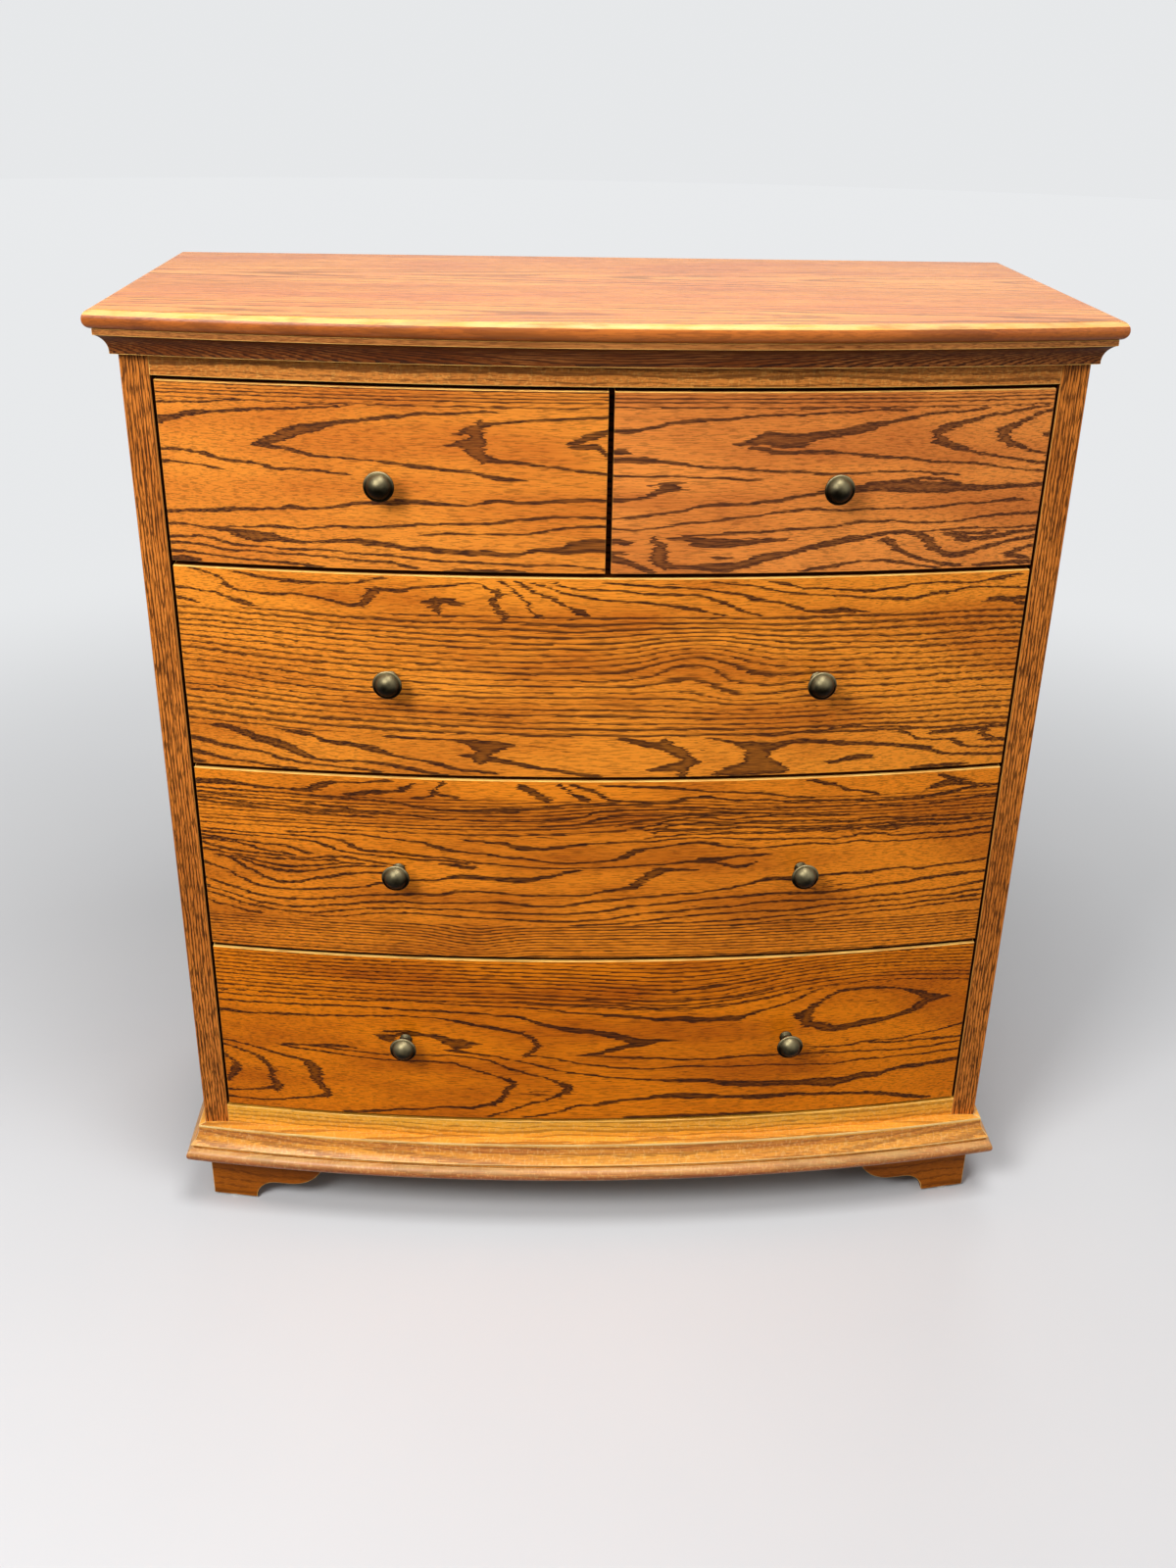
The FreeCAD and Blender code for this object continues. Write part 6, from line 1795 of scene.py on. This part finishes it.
LOWER_VEINS = veins(
    ((-448, 151, 2.6), (-425, 150.5, 3.6), (-410, 150, 3.2), (-400, 151.5, 2.6), (-360, 152, 2.4),
     (-320, 153.5, 2.8), (-240, 153.5, 2.4), (-200, 152, 2.6), (-150, 150.5, 2.6), (-120, 148.5, 2.6),
     (-98, 147, 3), (-85, 144, 5), (-70, 138, 5), (-55, 135, 4.5), (-40, 131, 6), (-20, 128, 7),
     (0, 124.5, 8), (15, 121, 9), (30, 117, 9), (42, 113, 9), (55, 111.5, 8), (70, 112, 5), (85, 112, 3),
     (100, 111, 1.5)),
    ((-22, 93.5, 1.6), (-10, 94.5, 3), (0, 95.5, 5), (12, 99, 6), (25, 102.5, 6), (38, 106, 7),
     (52, 108.5, 7), (66, 111, 5)),
    ((-448, 136, 4), (-432, 135.5, 4.5), (-415, 134.5, 3), (-390, 135.5, 2.6), (-350, 136.5, 2.6),
     (-320, 138, 2.4), (-290, 140.5, 2.4), (-262, 142, 2.4), (-235, 143.5, 2.2), (-200, 143, 2),
     (-180, 141, 2.2), (-168, 139, 3.6), (-155, 136.5, 5), (-140, 133.5, 5), (-125, 130.5, 5),
     (-105, 127, 4), (-90, 123.5, 4), (-80, 119, 5)),
    ((-86, 93, 2), (-70, 91, 2.2), (-50, 88, 2.2), (-30, 84, 2.4), (-10, 80, 2.6), (10, 77.5, 2.8),
     (30, 74.5, 2.6), (60, 73, 2.4), (90, 73.5, 2.6), (150, 72.5, 2.6), (200, 71.5, 2), (240, 69.5, 2),
     (280, 67.5, 2.2), (300, 68, 2.6), (325, 70.5, 2.6), (350, 70.5, 2), (448, 72, 2)),
    ((-20, 93, 1.6), (0, 92, 2.4), (20, 90, 2.4), (45, 88.5, 2.6), (70, 87, 2.4), (100, 85, 3),
     (130, 84.5, 2.8), (160, 85.5, 3), (185, 86, 2.6), (210, 86, 3), (240, 85, 2.6), (280, 83.5, 2.4),
     (320, 82, 2.4), (360, 80.5, 2.2), (400, 81, 2.4), (430, 83, 2.4), (448, 84, 2)),
    ((255, 95, 1.5), (290, 93, 2), (310, 94, 3.4), (322, 97, 3), (340, 97, 2), (365, 96.5, 2),
     (380, 99, 2.2), (400, 101, 2.2), (420, 105, 2.6), (435, 108, 3), (448, 111, 3)),
    ((330, 94.5, 2), (345, 92.5, 3), (370, 92, 2.4), (400, 91, 2.6), (448, 92, 2)),
    ((-448, 160.5, 1.8), (-380, 161, 1.8), (-320, 162, 2), (-260, 164, 1.8), (-220, 164.5, 2.4),
     (-190, 163, 2), (-150, 160.5, 2), (-100, 159.5, 2), (-70, 158, 2.2), (-50, 156.5, 2.2),
     (-25, 152.5, 2.6), (-5, 152, 2.4), (8, 149.5, 4), (25, 148, 5), (42, 147, 4.5), (58, 145, 4),
     (75, 143, 5), (92, 142, 6), (105, 140.5, 8), (120, 139.5, 7), (140, 140, 6), (158, 141, 8),
     (170, 142.5, 6), (180, 146.5, 4.5), (195, 151, 3.5), (210, 155, 3.2), (225, 160, 3.2), (240, 166, 3),
     (252, 172, 2.6), (260, 176, 2)),
    ((-100, 168, 1.6), (-60, 166, 2), (-30, 164, 2), (20, 162.5, 2), (40, 160, 2), (70, 159, 2),
     (100, 158, 2.4), (140, 160, 2), (160, 160.5, 2), (180, 163.5, 2), (200, 167, 2), (220, 173, 1.8),
     (232, 178, 1.6)),
    ((-20, 171, 1.6), (20, 170.5, 1.8), (60, 169, 1.8), (100, 168.5, 2), (150, 169.5, 2), (180, 173, 1.8),
     (205, 178, 1.6)),
    ((88, 180, 2), (98, 183, 2.6), (115, 186, 2), (150, 189, 1.8)),
    ((-262, 116, 2), (-252, 113, 8), (-242, 112, 12), (-232, 118, 6), (-212, 119, 6), (-198, 118.5, 4),
     (-188, 116, 7), (-177, 111, 11), (-166, 107, 14), (-156, 107, 13), (-146, 108, 4), (-138, 108, 1.5)),
    ((-250, 121, 2), (-232, 122.5, 3), (-210, 121, 2.4)),
    ((-178, 98.5, 2), (-166, 97.5, 5), (-150, 95.5, 4), (-120, 90.5, 2.4), (-100, 86, 2.2), (-80, 81, 2.6),
     (-58, 76, 3.2), (-40, 70.5, 2.6), (-20, 66.5, 2.4), (0, 64, 3), (20, 60.5, 2.6), (50, 57, 2.8),
     (75, 55, 3.4), (100, 54, 5), (125, 53, 5), (140, 51, 6), (155, 47.5, 7), (175, 46, 8), (200, 44, 9),
     (225, 44, 8), (250, 43, 10), (270, 42, 12), (285, 40, 14), (298, 41, 10), (312, 44, 9), (330, 46, 9),
     (342, 46, 9), (352, 50, 5), (365, 52, 5), (385, 53, 6), (405, 54, 6), (425, 56, 6), (448, 58, 5)),
    ((-85, 2, 2.4), (-60, 6, 2.4), (-45, 10, 3), (-30, 16, 4), (-18, 20, 3), (-5, 19.5, 3), (5, 22, 6),
     (20, 25, 6), (40, 28, 4), (58, 28.5, 4), (75, 31, 6), (92, 31.5, 7), (110, 30.5, 8), (130, 30, 7),
     (160, 28, 5), (180, 27, 6), (200, 25, 7), (225, 25.5, 5), (245, 26.5, 5), (265, 24.5, 5),
     (290, 22.5, 5), (315, 20.5, 4), (335, 18.5, 5), (355, 15, 6), (375, 10, 6), (395, 5, 5), (410, 2, 4)),
    ((40, 1.5, 3), (90, 2.5, 4), (130, 3, 4), (170, 2, 4), (210, 1, 3)),
    ((-448, 94, 2.4), (-435, 93, 2.6), (-418, 89.5, 2.6), (-405, 86, 2.6), (-390, 83, 3), (-378, 80, 3),
     (-365, 77, 3.4), (-352, 74, 4), (-344, 71, 6)),
    ((-448, 10.5, 2.4), (-420, 9.5, 2.4), (-390, 11, 2.6), (-375, 12.5, 2.8), (-358, 16.5, 3),
     (-345, 18, 3.4), (-332, 21, 4.5), (-322, 24.5, 6)),
    ((-448, 88, 2.6), (-435, 84, 2.6), (-420, 80, 3), (-408, 75.5, 3), (-400, 71.5, 4)),
    ((-448, 20, 2.4), (-425, 22.5, 2.6), (-405, 26, 2.8), (-394, 28, 4), (-385, 30, 5)),
    ((-375, 94, 2), (-360, 92, 2.6), (-345, 90, 2.6), (-330, 87.5, 2.6), (-310, 85, 2.8), (-290, 82.5, 2.4),
     (-260, 80.5, 2.4), (-230, 80, 2.4), (-190, 80, 2.6), (-170, 79, 2.6), (-160, 76, 3), (-150, 72.5, 3),
     (-138, 68, 3), (-120, 62, 3.2), (-108, 57, 4), (-100, 53, 6)),
    ((-300, 1.5, 4), (-280, 3.5, 4), (-262, 5, 4), (-245, 8, 3), (-225, 9, 2.6), (-205, 10, 3),
     (-190, 14, 2.8), (-175, 15.5, 3), (-150, 15, 3.4), (-138, 17.5, 4), (-128, 20, 5), (-118, 25, 7)),
    ((-366, 95.5, 1.6), (-345, 96, 2.4), (-325, 96.5, 4), (-305, 97, 4), (-290, 96, 2), (-280, 94.5, 1.5)),
    ((-335, 94.5, 2), (-312, 92.5, 2.6), (-290, 90.5, 2), (-240, 88.5, 1.8), (-200, 89, 2),
     (-160, 89.5, 2.2), (-140, 87, 2.4), (-128, 84, 3), (-118, 80, 3), (-105, 73.5, 3.4), (-90, 69.5, 2.6),
     (-75, 65, 2.8), (-62, 60.5, 3), (-52, 56.5, 4), (-42, 51, 6), (-34, 46, 7)),
    ((-130, 2, 2.4), (-112, 7, 3), (-95, 14, 3.4), (-80, 21, 3.6), (-70, 25, 3.4), (-58, 29.5, 3),
     (-48, 35, 5), (-38, 41, 7)),
    ((238, 140, 7), (248, 147, 8), (258, 154, 7), (268, 161, 5), (278, 167, 5), (290, 171.5, 4),
     (305, 172, 4), (325, 171.5, 4), (345, 170.5, 4), (360, 167, 4), (372, 163, 5), (385, 158, 10),
     (395, 153, 13), (405, 151, 10), (415, 151.5, 6), (422, 151, 2)),
    ((238, 138, 8), (246, 131, 10), (256, 126, 12), (268, 122, 12), (280, 118.5, 9), (292, 118, 9),
     (305, 120, 9), (320, 123, 10), (335, 125, 9), (350, 128, 7), (365, 132, 8), (378, 137, 10),
     (388, 144, 14), (396, 151, 12)),
)
LOWER_UPRIGHTS = veins(
    ((94, -84, 8), (97, -78, 9), (102, -72, 9), (107, -68, 10), (112, -71, 9), (118, -78, 8), (123, -88, 6)),
    ((24, -322, 8), (28, -321, 10), (34, -325, 12), (40, -330, 12), (46, -333, 14), (52, -334, 14),
     (58, -334, 16), (64, -337, 14), (70, -343, 8), (74, -352, 5)),
    ((29, -382, 12), (33, -381, 14), (38, -384, 9), (44, -388, 8), (50, -387, 8), (56, -389, 8),
     (62, -391, 8), (68, -395, 8), (72, -400, 6)),
    ((36, -441, 6), (42, -437, 10), (48, -433, 11), (54, -431, 11), (60, -430, 9), (66, -435, 7),
     (72, -442, 6)),
    ((22, -122, 7), (28, -114, 8), (34, -110, 9), (40, -108, 9), (46, -101, 10), (52, -99, 8),
     (56, -104, 5)),
    ((36, -44, 6), (40, -38, 8), (44, -33, 11), (48, -32, 9), (52, -38, 6)),
    ((128, 247, 14), (136, 247, 16), (144, 248, 13), (150, 253, 9)),
    upright=True,
)
LOWER_FIGURE = Figure(
    (
        Leaf(rings=0.0, lean=0.0, start=0.45, waver=0.3, swells=(
            Swell(315, 178, 130, 60, 16), Swell(100, 165, 110, 60, -12)),
            shoulders=(Shoulder(166, 1, 0.2, 8),)),
    ),
    LOWER_VEINS + LOWER_UPRIGHTS,
)
BOTH_KNOBS = (-0.224, 0.224)
DRAWERS = (
    Drawer("lower_drawer", LOWER_FIGURE, OAK_LOWER, BOTH_KNOBS),
    Drawer("middle_drawer", MIDDLE_FIGURE, OAK_MIDDLE, BOTH_KNOBS),
    Drawer("upper_drawer", UPPER_FIGURE, OAK_UPPER, BOTH_KNOBS),
    Drawer("top_left_drawer", TOP_LEFT_FIGURE, OAK_TOP_LEFT, BOTH_KNOBS[:1]),
    Drawer("top_right_drawer", TOP_RIGHT_FIGURE, OAK_TOP_RIGHT, BOTH_KNOBS[1:]),
)


def main() -> None:
    """Builds the chest and its studio."""
    logging.basicConfig(level=logging.INFO, format="%(name)s: %(message)s")
    brass = BrassFinish().material("antique_brass")
    TopBoard().build()
    Cornice().build()
    Plinth().build()
    Carcass().build()
    Feet().build()
    for drawer in DRAWERS:
        drawer.build(brass)
    Inside().build()
    Studio().build()


if __name__ == "__main__":
    main()
